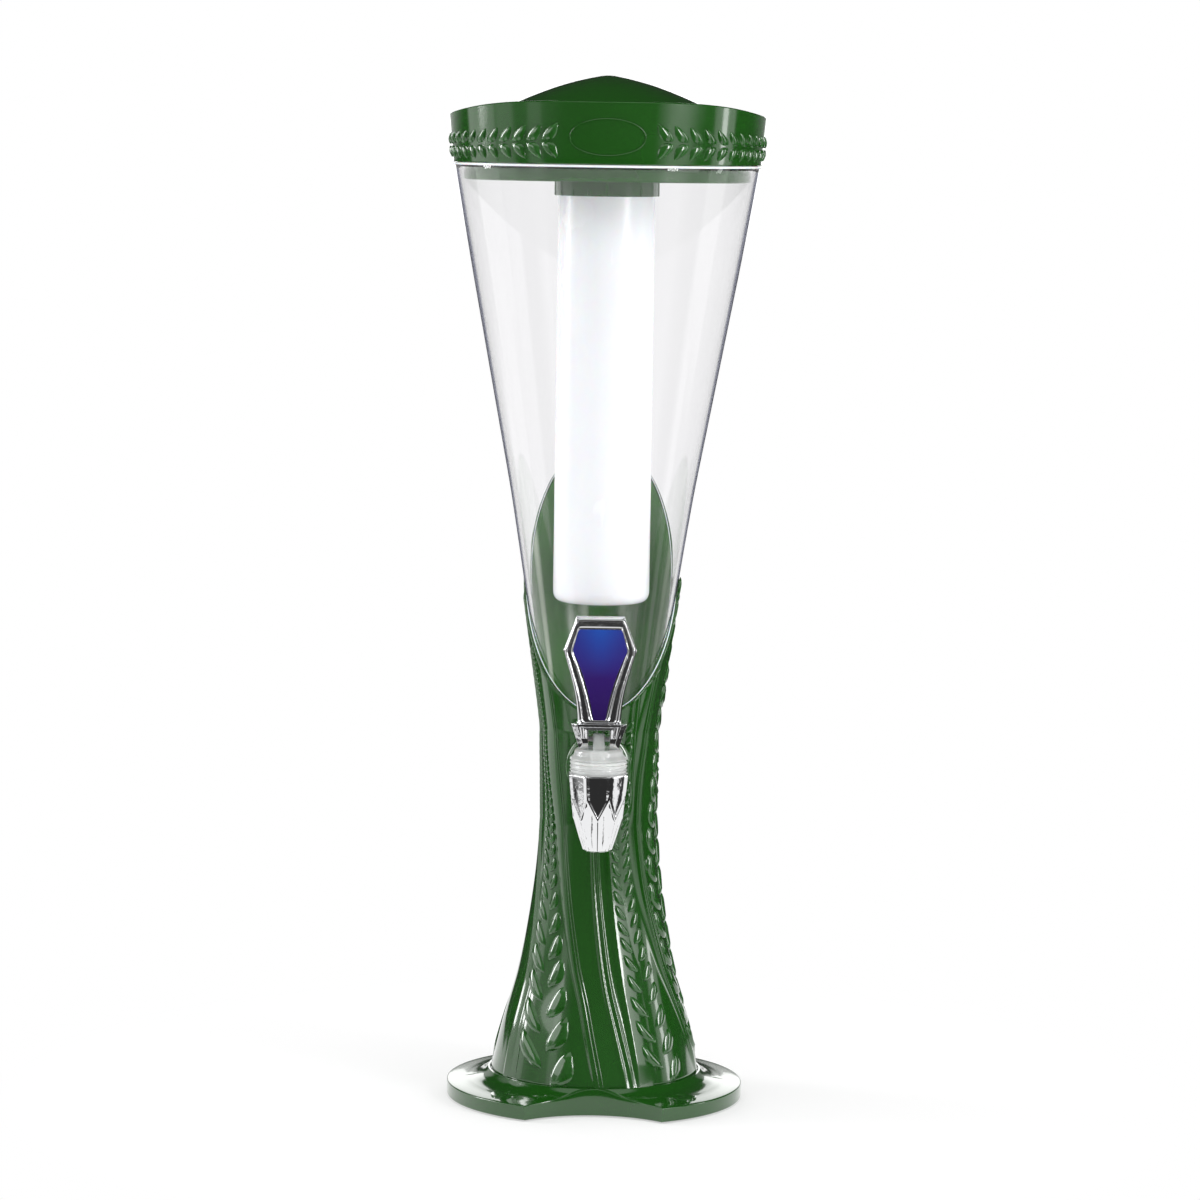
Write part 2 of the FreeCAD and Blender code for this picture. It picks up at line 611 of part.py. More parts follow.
def dome_blank(wall):
    """Soft cone of the dome down to the deck, drawn in by a wall."""
    top = DOME_TOP - wall
    radius = DOME_RADIUS - wall
    drop = top - LID_DECK_TOP - DOME_EDGE_THICKNESS + wall / 2
    outline = [at(radius * r, top - drop * d) for r, d in DOME_PROFILE]
    return turned(outline + [at(radius, LID_DECK_TOP), at(0, LID_DECK_TOP)])


def lid_dome():
    plug = SOCKET_RADIUS - DOME_PLUG_FIT
    bottom = LID_DECK_TOP - DOME_PLUG_DEPTH
    skirt = tube(plug, plug - DOME_PLUG_WALL, bottom, LID_DECK_TOP + DOME_EDGE_THICKNESS)
    collar = tube(plug, plug - DOME_PLUG_WALL, LID_DECK_TOP, DOME_TOP)
    shell = dome_blank(0.0).cut(dome_blank(DOME_WALL))
    return shell.fuse([skirt, collar.common(dome_blank(DOME_WALL / 2))]).removeSplitter()


# ------------------------------------------------------------------- ice tube
def tube_blank(inset, top):
    """Solid of the tube's form with an eased bottom corner, drawn in by a wall."""
    radius = TUBE_RADIUS - inset
    bottom = TUBE_BOTTOM + inset
    corner = eased_corner(radius, bottom, TUBE_CORNER_RADIUS - inset)
    return turned([at(0, bottom)] + corner + [at(radius, top), at(0, top)])


def ice_tube():
    lug_place = at(0, LUG_TOP - LUG_HEIGHT)
    lug = Part.makeCylinder(TUBE_RADIUS + LUG_REACH, LUG_HEIGHT, lug_place, UP, LUG_SPAN_DEG)
    lug.rotate(CENTRE, UP, -LUG_SPAN_DEG / 2)
    body = tube_blank(0.0, TUBE_TOP).fuse(ring_copies(lug, LUG_COUNT))
    return body.cut(tube_blank(TUBE_WALL, TUBE_TOP + OVERCUT)).removeSplitter()


# ------------------------------------------------------------------------ tap
def octagon(width, depth, corner, height):
    """Rectangle with cut corners round the spout's axis, as a closed wire."""
    points = []
    for x, y in ((1, -1), (1, 1), (-1, 1), (-1, -1)):
        side = FreeCAD.Vector(x * width, SPOUT_Y + y * (depth - corner), height)
        end = FreeCAD.Vector(x * (width - corner), SPOUT_Y + y * depth, height)
        points += [side, end] if x * y > 0 else [end, side]
    return Part.makePolygon(points + points[:1])


def tapered_prism(tiers):
    """Even-sided prism on the spout's axis through (height, half-width) tiers."""
    outlines = []
    for height, width in tiers:
        corner = width * (1 - math.tan(math.pi / CUP_SIDES))
        outlines.append(octagon(width, width, corner, height))
    return Part.makeLoft(outlines, True, True)


def tap_cup():
    """Cup cut like a gem: upright facets whose lower ends are pointed by a second, steeper set."""
    upper = tapered_prism([(TAP_TIP, CUP_FACET_TIP_WIDTH), (TAP_RIM, CUP_RIM_WIDTH)])
    lower_tiers = [(TAP_TIP + h * CUP_HEIGHT, w * CUP_RIM_WIDTH) for h, w in CUP_LOWER_TIERS]
    lower = tapered_prism(lower_tiers)
    lower.rotate(FreeCAD.Vector(0, SPOUT_Y, 0), UP, 180.0 / CUP_SIDES)
    return upper.common(lower)


def spout_axis(radius, bottom, top):
    """Cylinder on the spout's axis."""
    return Part.makeCylinder(radius, top - bottom, FreeCAD.Vector(0, SPOUT_Y, bottom))


def tap_body():
    barrel = rod_y(BARREL_RADIUS, SPOUT_Y, COLLAR_FRONT + COLLAR_THICKNESS, SHANK_HEIGHT)
    slab_corner = FreeCAD.Vector(-BARREL_RADIUS, SPOUT_Y, TAP_TIP)
    slab = Part.makeBox(2 * BARREL_RADIUS, SPOUT_REACH, CUP_HEIGHT, slab_corner)
    collar = rod_y(COLLAR_RADIUS, COLLAR_FRONT, COLLAR_FRONT + COLLAR_THICKNESS, SHANK_HEIGHT)
    shank = rod_y(SHANK_RADIUS, COLLAR_FRONT, SHANK_END, SHANK_HEIGHT)
    neck = spout_axis(NECK_RADIUS, TAP_RIM - OVERCUT, TAP_RIM + NECK_HEIGHT)
    body = tap_cup().fuse([barrel.common(slab), collar, shank, neck])
    chamber = spout_axis(CHAMBER_RADIUS, SEAT_HEIGHT, TAP_RIM + NECK_HEIGHT + OVERCUT)
    outlet = spout_axis(OUTLET_RADIUS, TAP_TIP - OVERCUT, SEAT_HEIGHT + OVERCUT)
    feed = rod_y(SHANK_BORE_RADIUS, SPOUT_Y, SHANK_END + OVERCUT, SHANK_HEIGHT)
    return body.cut([chamber, outlet, feed]).removeSplitter()


def shank_washer(radius, front):
    """Flat rubber washer on the shank, from its front face back."""
    back = front + WASHER_THICKNESS
    return rod_y(radius, front, back, SHANK_HEIGHT).cut(shank_hole(front, back))


def shank_washer_outer():
    return shank_washer(OUTER_WASHER_RADIUS, PAD_FRONT - WASHER_THICKNESS)


def shank_washer_inner():
    return shank_washer(INNER_WASHER_RADIUS, INNER_WASHER_FRONT)


def shank_nut():
    reach = NUT_ACROSS_FLATS / math.sqrt(3)
    points = []
    for corner in range(6):
        angle = math.radians(60 * corner)
        height = SHANK_HEIGHT + reach * math.sin(angle)
        points.append(FreeCAD.Vector(reach * math.cos(angle), NUT_FRONT, height))
    nut = flat_face(lines(points + points[:1])).extrude(FreeCAD.Vector(0, NUT_THICKNESS, 0))
    return nut.cut(shank_hole(NUT_FRONT, NUT_FRONT + NUT_THICKNESS))


def tap_bonnet():
    tier_top = TAP_RIM + BONNET_TIER_HEIGHT
    body = spout_axis(BONNET_RADIUS, TAP_RIM, tier_top)
    cap = spout_axis(BONNET_CAP_RADIUS, tier_top, BONNET_TOP)
    body = body.makeChamfer(BONNET_CHAMFER, [max(body.Edges, key=lambda e: e.CenterOfMass.z)])
    cap = cap.makeChamfer(BONNET_CHAMFER, [max(cap.Edges, key=lambda e: e.CenterOfMass.z)])
    cuts = [
        spout_axis(NECK_RADIUS + BONNET_FIT, TAP_RIM - OVERCUT, BONNET_ROOF),
        spout_axis(STEM_RADIUS + STEM_FIT, TAP_RIM, BONNET_TOP + OVERCUT),
    ]
    return body.fuse(cap).cut(cuts).removeSplitter()


def bonnet_gasket():
    disc = spout_axis(NECK_RADIUS, GASKET_BOTTOM, BONNET_ROOF)
    return disc.cut(spout_axis(GASKET_HOLE_RADIUS, GASKET_BOTTOM - OVERCUT, BONNET_ROOF + OVERCUT))


# -------------------------------------------------------------- stem and seat
def pin_hole(fit):
    """Cross hole for the handle's pin."""
    reach = FORK_TOP_WIDTH + OVERCUT
    place = FreeCAD.Vector(-reach, SPOUT_Y, PIN_HEIGHT)
    return Part.makeCylinder(PIN_RADIUS + fit, 2 * reach, place, ALONG_X)


def valve_stem():
    stem = spout_axis(STEM_RADIUS, SEAT_TOP - STEM_IN_SEAT, STEM_TOP)
    stem = stem.makeChamfer(STEM_CHAMFER, [max(stem.Edges, key=lambda e: e.CenterOfMass.z)])
    return stem.cut(pin_hole(0.0))


def seat_cup():
    body = spout_axis(SEAT_RADIUS, SEAT_BOTTOM, SEAT_TOP)
    body = body.makeChamfer(SEAT_NOSE, [min(body.Edges, key=lambda e: e.CenterOfMass.z)])
    return body.cut(spout_axis(STEM_RADIUS, SEAT_TOP - STEM_IN_SEAT, SEAT_TOP + OVERCUT))


def stem_spring():
    """Coil of straight-sided wire round the stem, between the seat and the bonnet's roof."""
    bottom = SEAT_TOP + SPRING_END_GAP + SPRING_WIRE_RADIUS
    top = BONNET_ROOF - SPRING_END_GAP - SPRING_WIRE_RADIUS
    coil_radius = SPRING_RADIUS - SPRING_WIRE_RADIUS
    steps = SPRING_TURNS * SPRING_STEPS
    sections = []
    for index in range(steps + 1):
        turn = 2 * math.pi * index / SPRING_STEPS
        height = bottom + (top - bottom) * index / steps
        points = []
        for side in range(SPRING_SIDES):
            angle = 2 * math.pi * side / SPRING_SIDES
            radius = coil_radius + SPRING_WIRE_RADIUS * math.cos(angle)
            rise = SPRING_WIRE_RADIUS * math.sin(angle)
            x = radius * math.cos(turn)
            points.append(FreeCAD.Vector(x, SPOUT_Y + radius * math.sin(turn), height + rise))
        sections.append(Part.makePolygon(points + points[:1]))
    return Part.makeLoft(sections, True, True)


# --------------------------------------------------------------------- handle
def cam_prism():
    """Block above the handle's foot: a flat heel, then a spiral that rises with the turn."""
    foot = PIN_ABOVE_BONNET - CAM_GAP
    side = -FORK_TOP_WIDTH - OVERCUT
    reach = FORK_TOP_DEPTH + OVERCUT
    spiral = []
    for index in range(CAM_POINTS):
        angle = math.radians(CAM_TURN_DEG) * index / (CAM_POINTS - 1)
        support = foot + CAM_RISE_PER_RADIAN * angle
        y = -support * math.sin(angle) - CAM_RISE_PER_RADIAN * math.cos(angle)
        z = -support * math.cos(angle) + CAM_RISE_PER_RADIAN * math.sin(angle)
        spiral.append(FreeCAD.Vector(side, SPOUT_Y + y, PIN_HEIGHT + z))
    heel, toe = spiral[0], spiral[-1]
    climb = math.tan(math.radians(CAM_TURN_DEG + CAM_RELIEF_DEG))
    toe_end = toe.z + climb * (reach + toe.y - SPOUT_Y)
    top = HANDLE_TOP + OVERCUT
    outline = [
        toe,
        FreeCAD.Vector(side, SPOUT_Y - reach, toe_end),
        FreeCAD.Vector(side, SPOUT_Y - reach, top),
        FreeCAD.Vector(side, SPOUT_Y + reach, top),
        FreeCAD.Vector(side, SPOUT_Y + reach, heel.z),
        heel,
    ]
    return flat_face([curve(spiral)] + lines(outline)).extrude(FreeCAD.Vector(-2 * side, 0, 0))


def shield(corners):
    """Face with a flat head, wide shoulders and a long hollow taper, from four (half-width, height)."""
    right = [FreeCAD.Vector(width, 0, height) for width, height in corners]
    left = [FreeCAD.Vector(-width, 0, height) for width, height in corners]
    edges = lines([left[1], left[0], right[0], right[1]])
    edges.append(arc(right[1], right[2], right[3]))
    edges += lines([right[3], left[3]])
    edges.append(arc(left[3], left[2], left[1]))
    return flat_face(edges)


def plate(face, front, back):
    """Face swept along Y between two depths measured from the spout's axis."""
    moved = face.copy()
    moved.translate(FreeCAD.Vector(0, SPOUT_Y + front, 0))
    return moved.extrude(FreeCAD.Vector(0, back - front, 0))


def badge_face(grow):
    """Outline of the badge, grown by a clearance."""
    wide = HANDLE_TOP - HANDLE_WIDE_DROP
    foot = FORK_TOP + BADGE_FOOT_LIFT - grow
    waist = foot + (wide - foot) * BADGE_WAIST_SHARE
    corners = [
        (BADGE_TOP_WIDTH + grow, HANDLE_TOP - BADGE_TOP_DROP + grow),
        (BADGE_WIDE_WIDTH + grow, wide),
        (BADGE_WAIST_WIDTH + grow, waist),
        (BADGE_FOOT_WIDTH + grow, foot),
    ]
    return shield(corners)


def handle_blade():
    """Bevelled plate of the handle, with its sides hollowed towards the fork."""
    wide = HANDLE_TOP - HANDLE_WIDE_DROP
    waist = FORK_TOP + (wide - FORK_TOP) * HANDLE_WAIST_SHARE
    corners = [
        (HANDLE_TOP_WIDTH, HANDLE_TOP),
        (HANDLE_WIDE_WIDTH, wide),
        (HANDLE_WAIST_WIDTH, waist),
        (HANDLE_NECK_WIDTH, FORK_TOP - FORK_ROOF_THICKNESS),
    ]
    blade = plate(shield(corners), -HANDLE_FRONT_DEPTH, HANDLE_BACK_DEPTH)
    flat = HANDLE_BEVEL / 100
    rims = [e for e in blade.Edges if e.BoundBox.YLength < flat and e.CenterOfMass.z > FORK_TOP]
    return blade.makeChamfer(HANDLE_BEVEL, rims)


def tap_handle():
    outlines = [
        octagon(FORK_BOTTOM_WIDTH, FORK_BOTTOM_DEPTH, FORK_CORNER, FORK_BOTTOM),
        octagon(FORK_TOP_WIDTH, FORK_TOP_DEPTH, FORK_CORNER, FORK_TOP),
    ]
    foot = Part.makeLoft(outlines, True, True).common(cam_prism())
    slot_place = FreeCAD.Vector(-FORK_SLOT_WIDTH, SPOUT_Y - 2 * FORK_TOP_DEPTH, BONNET_TOP)
    slot_height = FORK_TOP - FORK_ROOF_THICKNESS - BONNET_TOP
    slot = Part.makeBox(2 * FORK_SLOT_WIDTH, 4 * FORK_TOP_DEPTH, slot_height, slot_place)
    pocket_back = BADGE_DEPTH - HANDLE_FRONT_DEPTH
    pocket = plate(badge_face(BADGE_GAP), -HANDLE_FRONT_DEPTH - OVERCUT, pocket_back)
    return foot.fuse(handle_blade()).cut([slot, pocket, pin_hole(PIN_FIT)]).removeSplitter()


def handle_badge():
    back = BADGE_DEPTH - HANDLE_FRONT_DEPTH
    return plate(badge_face(0.0), back - BADGE_THICKNESS, back)


def handle_pin():
    length = FORK_BOTTOM_WIDTH + PIN_END_REACH
    place = FreeCAD.Vector(-length, SPOUT_Y, PIN_HEIGHT)
    return Part.makeCylinder(PIN_RADIUS, 2 * length, place, ALONG_X)


# -------------------------------------------------------------------- hand out
NODES = {
    "base_plate": base_plate,
    "rubber_feet": rubber_feet,
    "base_screws": base_screws,
    "column": column,
    "vessel": vessel,
    "lid": lid,
    "lid_dome": lid_dome,
    "ice_tube": ice_tube,
    "tap_body": tap_body,
    "shank_washer_outer": shank_washer_outer,
    "shank_washer_inner": shank_washer_inner,
    "shank_nut": shank_nut,
    "tap_bonnet": tap_bonnet,
    "bonnet_gasket": bonnet_gasket,
    "valve_stem": valve_stem,
    "seat_cup": seat_cup,
    "stem_spring": stem_spring,
    "handle_pin": handle_pin,
    "tap_handle": tap_handle,
    "handle_badge": handle_badge,
}

os.makedirs("parts", exist_ok=True)
for name, make in NODES.items():
    shape = make()
    shape.exportStep("parts/" + name + ".step")
    print(name, len(shape.Solids), "solids, valid", shape.isValid(), round(shape.Volume), "mm3")
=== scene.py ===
"""Looks of a beer tower dispenser: clear vessel, twisted green column, lid, ice tube and tap."""

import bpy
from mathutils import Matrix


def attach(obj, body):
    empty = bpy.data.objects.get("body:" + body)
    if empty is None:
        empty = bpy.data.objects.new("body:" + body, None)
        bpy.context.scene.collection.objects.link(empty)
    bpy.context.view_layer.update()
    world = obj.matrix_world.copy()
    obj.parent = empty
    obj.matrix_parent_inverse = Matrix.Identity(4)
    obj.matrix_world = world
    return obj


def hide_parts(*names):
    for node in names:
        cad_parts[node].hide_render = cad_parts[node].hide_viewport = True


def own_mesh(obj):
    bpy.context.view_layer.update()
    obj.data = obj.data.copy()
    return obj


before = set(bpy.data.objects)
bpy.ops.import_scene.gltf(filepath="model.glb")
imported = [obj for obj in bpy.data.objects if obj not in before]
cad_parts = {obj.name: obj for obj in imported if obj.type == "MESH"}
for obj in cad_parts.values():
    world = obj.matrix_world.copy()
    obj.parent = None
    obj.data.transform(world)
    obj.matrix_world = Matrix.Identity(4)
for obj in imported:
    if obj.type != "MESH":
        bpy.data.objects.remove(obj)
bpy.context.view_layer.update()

import logging
import math
from dataclasses import dataclass
from enum import Enum
from typing import Callable, NamedTuple, Optional

import bmesh
import bpy
import numpy as np
from mathutils import Matrix, Vector

log = logging.getLogger("tower")
MM = 0.001
TINY = 1e-9
Table = tuple[tuple[float, ...], tuple[float, ...]]


class Body(Enum):
    """Bodies that the pieces ride on."""

    TOWER = "tower"
    LID = "lid_set"
    TUBE = "tube_set"
    STEM = "stem_set"
    HANDLE = "handle_set"


class Slot(Enum):
    """Material slots of the record."""

    GREEN = "green_plastic"
    CLEAR = "clear_plastic"
    FROSTED = "frosted_plastic"
    CHROME = "tap_chrome"
    BONNET = "bonnet_plastic"
    SPRING = "spring_steel"
    BADGE = "badge_blue"


# ------------------------------------------------------------------ surfaces
def turned(radius: np.ndarray, angle: np.ndarray, height: np.ndarray) -> np.ndarray:
    """Points about the tower's axis: x = r sin a, y = -r cos a, so that angle 0 is the front.

    Args:
        radius: Distances from the axis, in millimetres.
        angle: Angles from the front towards +X, in radians.
        height: Heights above the table, in millimetres.

    Returns:
        The points as one array with x, y and z along its last axis.
    """
    radius, angle, height = np.broadcast_arrays(radius, angle, height)
    return np.stack([radius * np.sin(angle), -radius * np.cos(angle), height], axis=-1)


def rows_round(angle: np.ndarray, *rows: tuple[object, object]) -> np.ndarray:
    """Grid of rows about the tower's axis, each given by its radius and its height.

    Args:
        angle: Angles of the columns, as one row.
        rows: Radius and height of each row or block of rows. Either is a number, or a column with
            a value for each row, or varies with the angle.

    Returns:
        The rows in order, by columns by 3.
    """
    return np.concatenate([turned(np.atleast_2d(r), angle, np.atleast_2d(z)) for r, z in rows])


def outwards(angle: np.ndarray) -> np.ndarray:
    """Level unit directions away from the tower's axis."""
    return turned(np.ones_like(angle), angle, np.zeros_like(angle))


def smooth_through(x: np.ndarray, table: Table) -> np.ndarray:
    """Cubic curve through a table: each span is a Hermite cubic whose end slopes are the mean
    slopes over the neighbouring knots, and the ends carry on flat.

    Args:
        x: Places to read the curve at.
        table: Rising knots, and the values at them.

    Returns:
        The values at x.
    """
    knots, values = np.asarray(table[0], float), np.asarray(table[1], float)
    slopes = np.gradient(values, knots)
    x = np.clip(x, knots[0], knots[-1])
    span = np.clip(np.searchsorted(knots, x, side="right") - 1, 0, len(knots) - 2)
    width = knots[span + 1] - knots[span]
    t = (x - knots[span]) / width
    rise = t * t * (3 - 2 * t)
    blend = values[span] * (1 - rise) + values[span + 1] * rise
    start = slopes[span] * width * t * (1 - t) ** 2
    return blend + start - slopes[span + 1] * width * t * t * (1 - t)


def rounded(corners: list[tuple[float, float, float]], steps: int = 5) -> np.ndarray:
    """Profile with its corners rounded: near each corner the line is a quadratic curve that
    starts and ends at the rounding distance from the corner.

    Args:
        corners: Radius, height and rounding distance of each corner, in order.
        steps: Points on each rounded corner.

    Returns:
        Rows of radius and height.
    """
    data = np.array(corners, float)
    points, ease = data[:, :2], data[:, 2]
    before = np.roll(points, 1, axis=0) - points
    after = np.roll(points, -1, axis=0) - points
    before /= np.maximum(np.linalg.norm(before, axis=1, keepdims=True), TINY)
    after /= np.maximum(np.linalg.norm(after, axis=1, keepdims=True), TINY)
    t = np.linspace(0, 1, steps)[None, :, None]
    first = (points + before * ease[:, None])[:, None]
    last = (points + after * ease[:, None])[:, None]
    curve = first * (1 - t) ** 2 + 2 * points[:, None] * t * (1 - t) + last * t ** 2
    rows = [curve[i] if ease[i] > 0 else points[i:i + 1] for i in range(len(points))]
    return np.concatenate(rows)


def refined(profile: np.ndarray, step: float) -> np.ndarray:
    """Adds points on the long runs of a profile, so that none is longer than a step.

    Args:
        profile: Rows of radius and height.
        step: Longest run, in millimetres.

    Returns:
        The profile with its new rows.
    """
    runs = np.linalg.norm(np.diff(profile, axis=0), axis=1)
    pieces = [
        np.linspace(profile[i], profile[i + 1], max(1, math.ceil(runs[i] / step)), endpoint=False)
        for i in range(len(runs))
    ]
    return np.concatenate(pieces + [profile[-1:]])


@dataclass
class Patchwork:
    """Collects grids of points and turns them into one mesh object, in metres."""

    name: str

    def __post_init__(self) -> None:
        """Starts with no points and no faces."""
        self.points: list[np.ndarray] = []
        self.quads: list[np.ndarray] = []
        self.count = 0

    def add(self, grids: np.ndarray, wrap_rows: bool = False, wrap_cols: bool = True,
            poles: tuple[bool, bool] = (False, False)) -> "Patchwork":
        """Adds one grid or a stack of equal grids. Each cell becomes a face, the rows or columns
        may join their ends, and a pole gathers a whole end row into one point.

        Args:
            grids: Points, rows by columns by 3, or a stack of such grids, in millimetres.
            wrap_rows: Joins the last row to the first.
            wrap_cols: Joins the last column to the first.
            poles: Gathers the first and the last row.

        Returns:
            This patchwork.
        """
        stack = grids if grids.ndim == 4 else grids[None]
        number, rows, cols = stack.shape[:3]
        index = np.arange(rows * cols).reshape(rows, cols)
        if poles[0]:
            index[0] = index[0, 0]
        if poles[1]:
            index[-1] = index[-1, 0]
        up = np.roll(index, -1, axis=0)
        quads = np.stack([index, np.roll(index, -1, 1), np.roll(up, -1, 1), up], axis=-1)
        quads = quads if wrap_rows else quads[:-1]
        quads = (quads if wrap_cols else quads[:, :-1]).reshape(-1, 4)
        shift = np.arange(number)[:, None, None] * rows * cols + self.count
        self.quads.append((quads[None] + shift).reshape(-1, 4))
        self.points.append(stack.reshape(-1, 3))
        self.count += number * rows * cols
        return self

    def build(self, body: Body, slot: Slot, finish: "Finish", sharp: float = 40.0,
              turn: Optional[Matrix] = None) -> bpy.types.Object:
        """Makes the mesh object, smooth except across edges sharper than an angle.

        Args:
            body: Body that the object rides on.
            slot: Material slot of the record. It is not used.
            finish: Its finish.
            sharp: Angle in degrees from which an edge stays sharp.
            turn: Placement of the points, if they weren't worked out in place.

        Returns:
            The object, at the origin.
        """
        mesh = self.mesh(turn)
        mesh.shade_smooth()
        mesh.set_sharp_from_angle(angle=math.radians(sharp))
        return finish_piece(bpy.data.objects.new(self.name, mesh), body, finish)

    def mesh(self, turn: Optional[Matrix] = None) -> bpy.types.Mesh:
        """Joins the grids into one mesh, with triangles at the poles and no loose points.

        Args:
            turn: Placement of the points, if they weren't worked out in place.

        Returns:
            The mesh, in metres.
        """
        used, quads = np.unique(np.concatenate(self.quads), return_inverse=True)
        quads = quads.reshape(-1, 4)
        points = np.concatenate(self.points)[used] * MM
        if turn is not None:
            matrix = np.array(turn)
            points = points @ matrix[:3, :3].T + matrix[:3, 3]
        low, high = quads[:, 0] == quads[:, 1], quads[:, 2] == quads[:, 3]
        plain = quads[~low & ~high]
        fans = np.concatenate([quads[low & ~high][:, 1:], quads[high & ~low][:, :3]])
        mesh = bpy.data.meshes.new(self.name)
        mesh.from_pydata(points.tolist(), [], plain.tolist() + fans.tolist())
        return mesh

    def plain_object(self, material: bpy.types.Material) -> bpy.types.Object:
        """Makes a linked object for the studio itself, which rides on nothing.

        Args:
            material: What it wears.

        Returns:
            The object, at the origin.
        """
        mesh = self.mesh()
        mesh.materials.append(material)
        made = bpy.data.objects.new(self.name, mesh)
        bpy.context.scene.collection.objects.link(made)
        return made


def finish_piece(piece: bpy.types.Object, body: Body,
                 finish: "Finish") -> bpy.types.Object:
    """Links a piece, dresses it and lets it ride on its body.

    Args:
        piece: New mesh object.
        body: Body that it rides on.
        finish: Its finish.

    Returns:
        The piece.
    """
    bpy.context.scene.collection.objects.link(piece)
    piece.data.materials.clear()
    piece.data.materials.append(finish.material())
    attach(piece, body.value)
    log.info("%s: %d faces on %s", piece.name, len(piece.data.polygons), body.value)
    return piece


def lathe(name: str, profile: np.ndarray, segments: int = 160, loop: bool = False) -> Patchwork:
    """Turns a profile of radius and height about the Z axis. Ends on the axis become poles.

    Args:
        name: Name of the piece.
        profile: Rows of radius and height, in millimetres, up along the outside.
        segments: Columns round the axis.
        loop: Joins the profile's end to its start.

    Returns:
        The patchwork with the turned surface.
    """
    angle = np.linspace(0, 2 * np.pi, segments, endpoint=False)[None]
    grid = turned(profile[:, :1], angle, profile[:, 1:])
    ends = (not loop and profile[0, 0] < TINY, not loop and profile[-1, 0] < TINY)
    return Patchwork(name).add(grid, wrap_rows=loop, poles=ends)


def strand(path: np.ndarray, radius: np.ndarray, outward: np.ndarray, sides: int = 8,
           closed: bool = False) -> np.ndarray:
    """Round strand along a path: every ring is a circle in the plane of the outward direction
    and the direction across, which is the outward direction times the path's own.

    Args:
        path: Points of the centre line, in millimetres.
        radius: Radius at each point.
        outward: Unit direction away from the surface at each point.
        sides: Points on each ring.
        closed: The path returns to its start.

    Returns:
        Rings by sides by 3 points.
    """
    if closed:
        along = np.roll(path, -1, axis=0) - np.roll(path, 1, axis=0)
    else:
        along = np.gradient(path, axis=0)
    along /= np.linalg.norm(along, axis=1, keepdims=True)
    across = np.cross(outward, along)
    across /= np.linalg.norm(across, axis=1, keepdims=True)
    out = np.cross(along, across)
    turn = np.linspace(0, 2 * np.pi, sides, endpoint=False)[None, :, None]
    radius = np.broadcast_to(radius, len(path))[:, None, None]
    ring = across[:, None] * np.cos(turn) - out[:, None] * np.sin(turn)
    return path[:, None] + radius * ring


# ------------------------------------------------------------------ materials
class Shader:
    """Short hand for building one material's or node group's nodes."""

    def __init__(self, tree: bpy.types.NodeTree) -> None:
        """Keeps the tree that the nodes go into."""
        self.tree = tree

    @classmethod
    def blank(cls, owner: "bpy.types.Material | bpy.types.World") -> "Shader":
        """Builder for a material or a world whose nodes are emptied.

        Args:
            owner: The material or world.

        Returns:
            The builder.
        """
        owner.use_nodes = True
        owner.node_tree.nodes.clear()
        return cls(owner.node_tree)

    def node(self, kind: str, **inputs: object) -> bpy.types.Node:
        """Adds a node. Keywords set its inputs, a socket as a value is linked, and a keyword
        that starts with p_ sets a property of the node.

        Args:
            kind: Blender's name of the node's type, without ShaderNode.
            inputs: Inputs by name with _ for a space, or by in0, in1 and so on.

        Returns:
            The node.
        """
        made = self.tree.nodes.new("ShaderNode" + kind)
        for key, value in inputs.items():
            if key.startswith("p_"):
                setattr(made, key[2:], value)
        for key, value in inputs.items():
            if key.startswith("p_"):
                continue
            name = int(key[2:]) if key[:2] == "in" and key[2:].isdigit() else key.replace("_", " ")
            if isinstance(value, bpy.types.NodeSocket):
                self.tree.links.new(value, made.inputs[name])
            else:
                made.inputs[name].default_value = value
        return made

    def maths(self, operation: str, first: object, second: object = 0.0,
              clamp: bool = False) -> bpy.types.NodeSocket:
        """Result of a Math node on two values or sockets."""
        made = self.node("Math", p_operation=operation, p_use_clamp=clamp, in0=first, in1=second)
        return made.outputs[0]

    def ramp(self, value: bpy.types.NodeSocket, low: float, high: float, out_low: float = 0.0,
             out_high: float = 1.0) -> bpy.types.NodeSocket:
        """Maps a value's range evenly onto another and clamps it there."""
        made = self.node("MapRange", Value=value, From_Min=low, From_Max=high, To_Min=out_low,
                         To_Max=out_high)
        return made.outputs[0]

    def mix(self, share: object, first: object, second: object) -> bpy.types.NodeSocket:
        """Mixes two colours.

        Args:
            share: Share of the second colour, as a value or a socket.
            first: Colour where the share is 0.
            second: Colour where the share is 1.

        Returns:
            The mixed colour.
        """
        made = self.node("Mix", p_data_type="RGBA")
        for index, value in ((0, share), (6, first), (7, second)):
            if isinstance(value, bpy.types.NodeSocket):
                self.tree.links.new(value, made.inputs[index])
            else:
                made.inputs[index].default_value = value
        return made.outputs[2]

    def place(self) -> bpy.types.NodeSocket:
        """The surface point in the piece's own coordinates, in metres."""
        return self.node("TexCoord").outputs["Object"]

    def axes(self) -> tuple[bpy.types.NodeSocket, ...]:
        """The surface point's X, Y and Z in the piece's own coordinates, in metres."""
        split = self.node("SeparateXYZ", Vector=self.place())
        return tuple(split.outputs[axis] for axis in "XYZ")

    def noise(self, place: bpy.types.NodeSocket, scale: object,
              detail: float = 2.0) -> bpy.types.NodeSocket:
        """Value of a noise at a point."""
        return self.node("TexNoise", Vector=place, Scale=scale, Detail=detail).outputs["Fac"]

    def span(self, x: bpy.types.NodeSocket, y: bpy.types.NodeSocket) -> bpy.types.NodeSocket:
        """Distance from the Z axis: the square root of x squared plus y squared."""
        squares = [self.maths("MULTIPLY", side, side) for side in (x, y)]
        return self.maths("SQRT", self.maths("ADD", *squares))


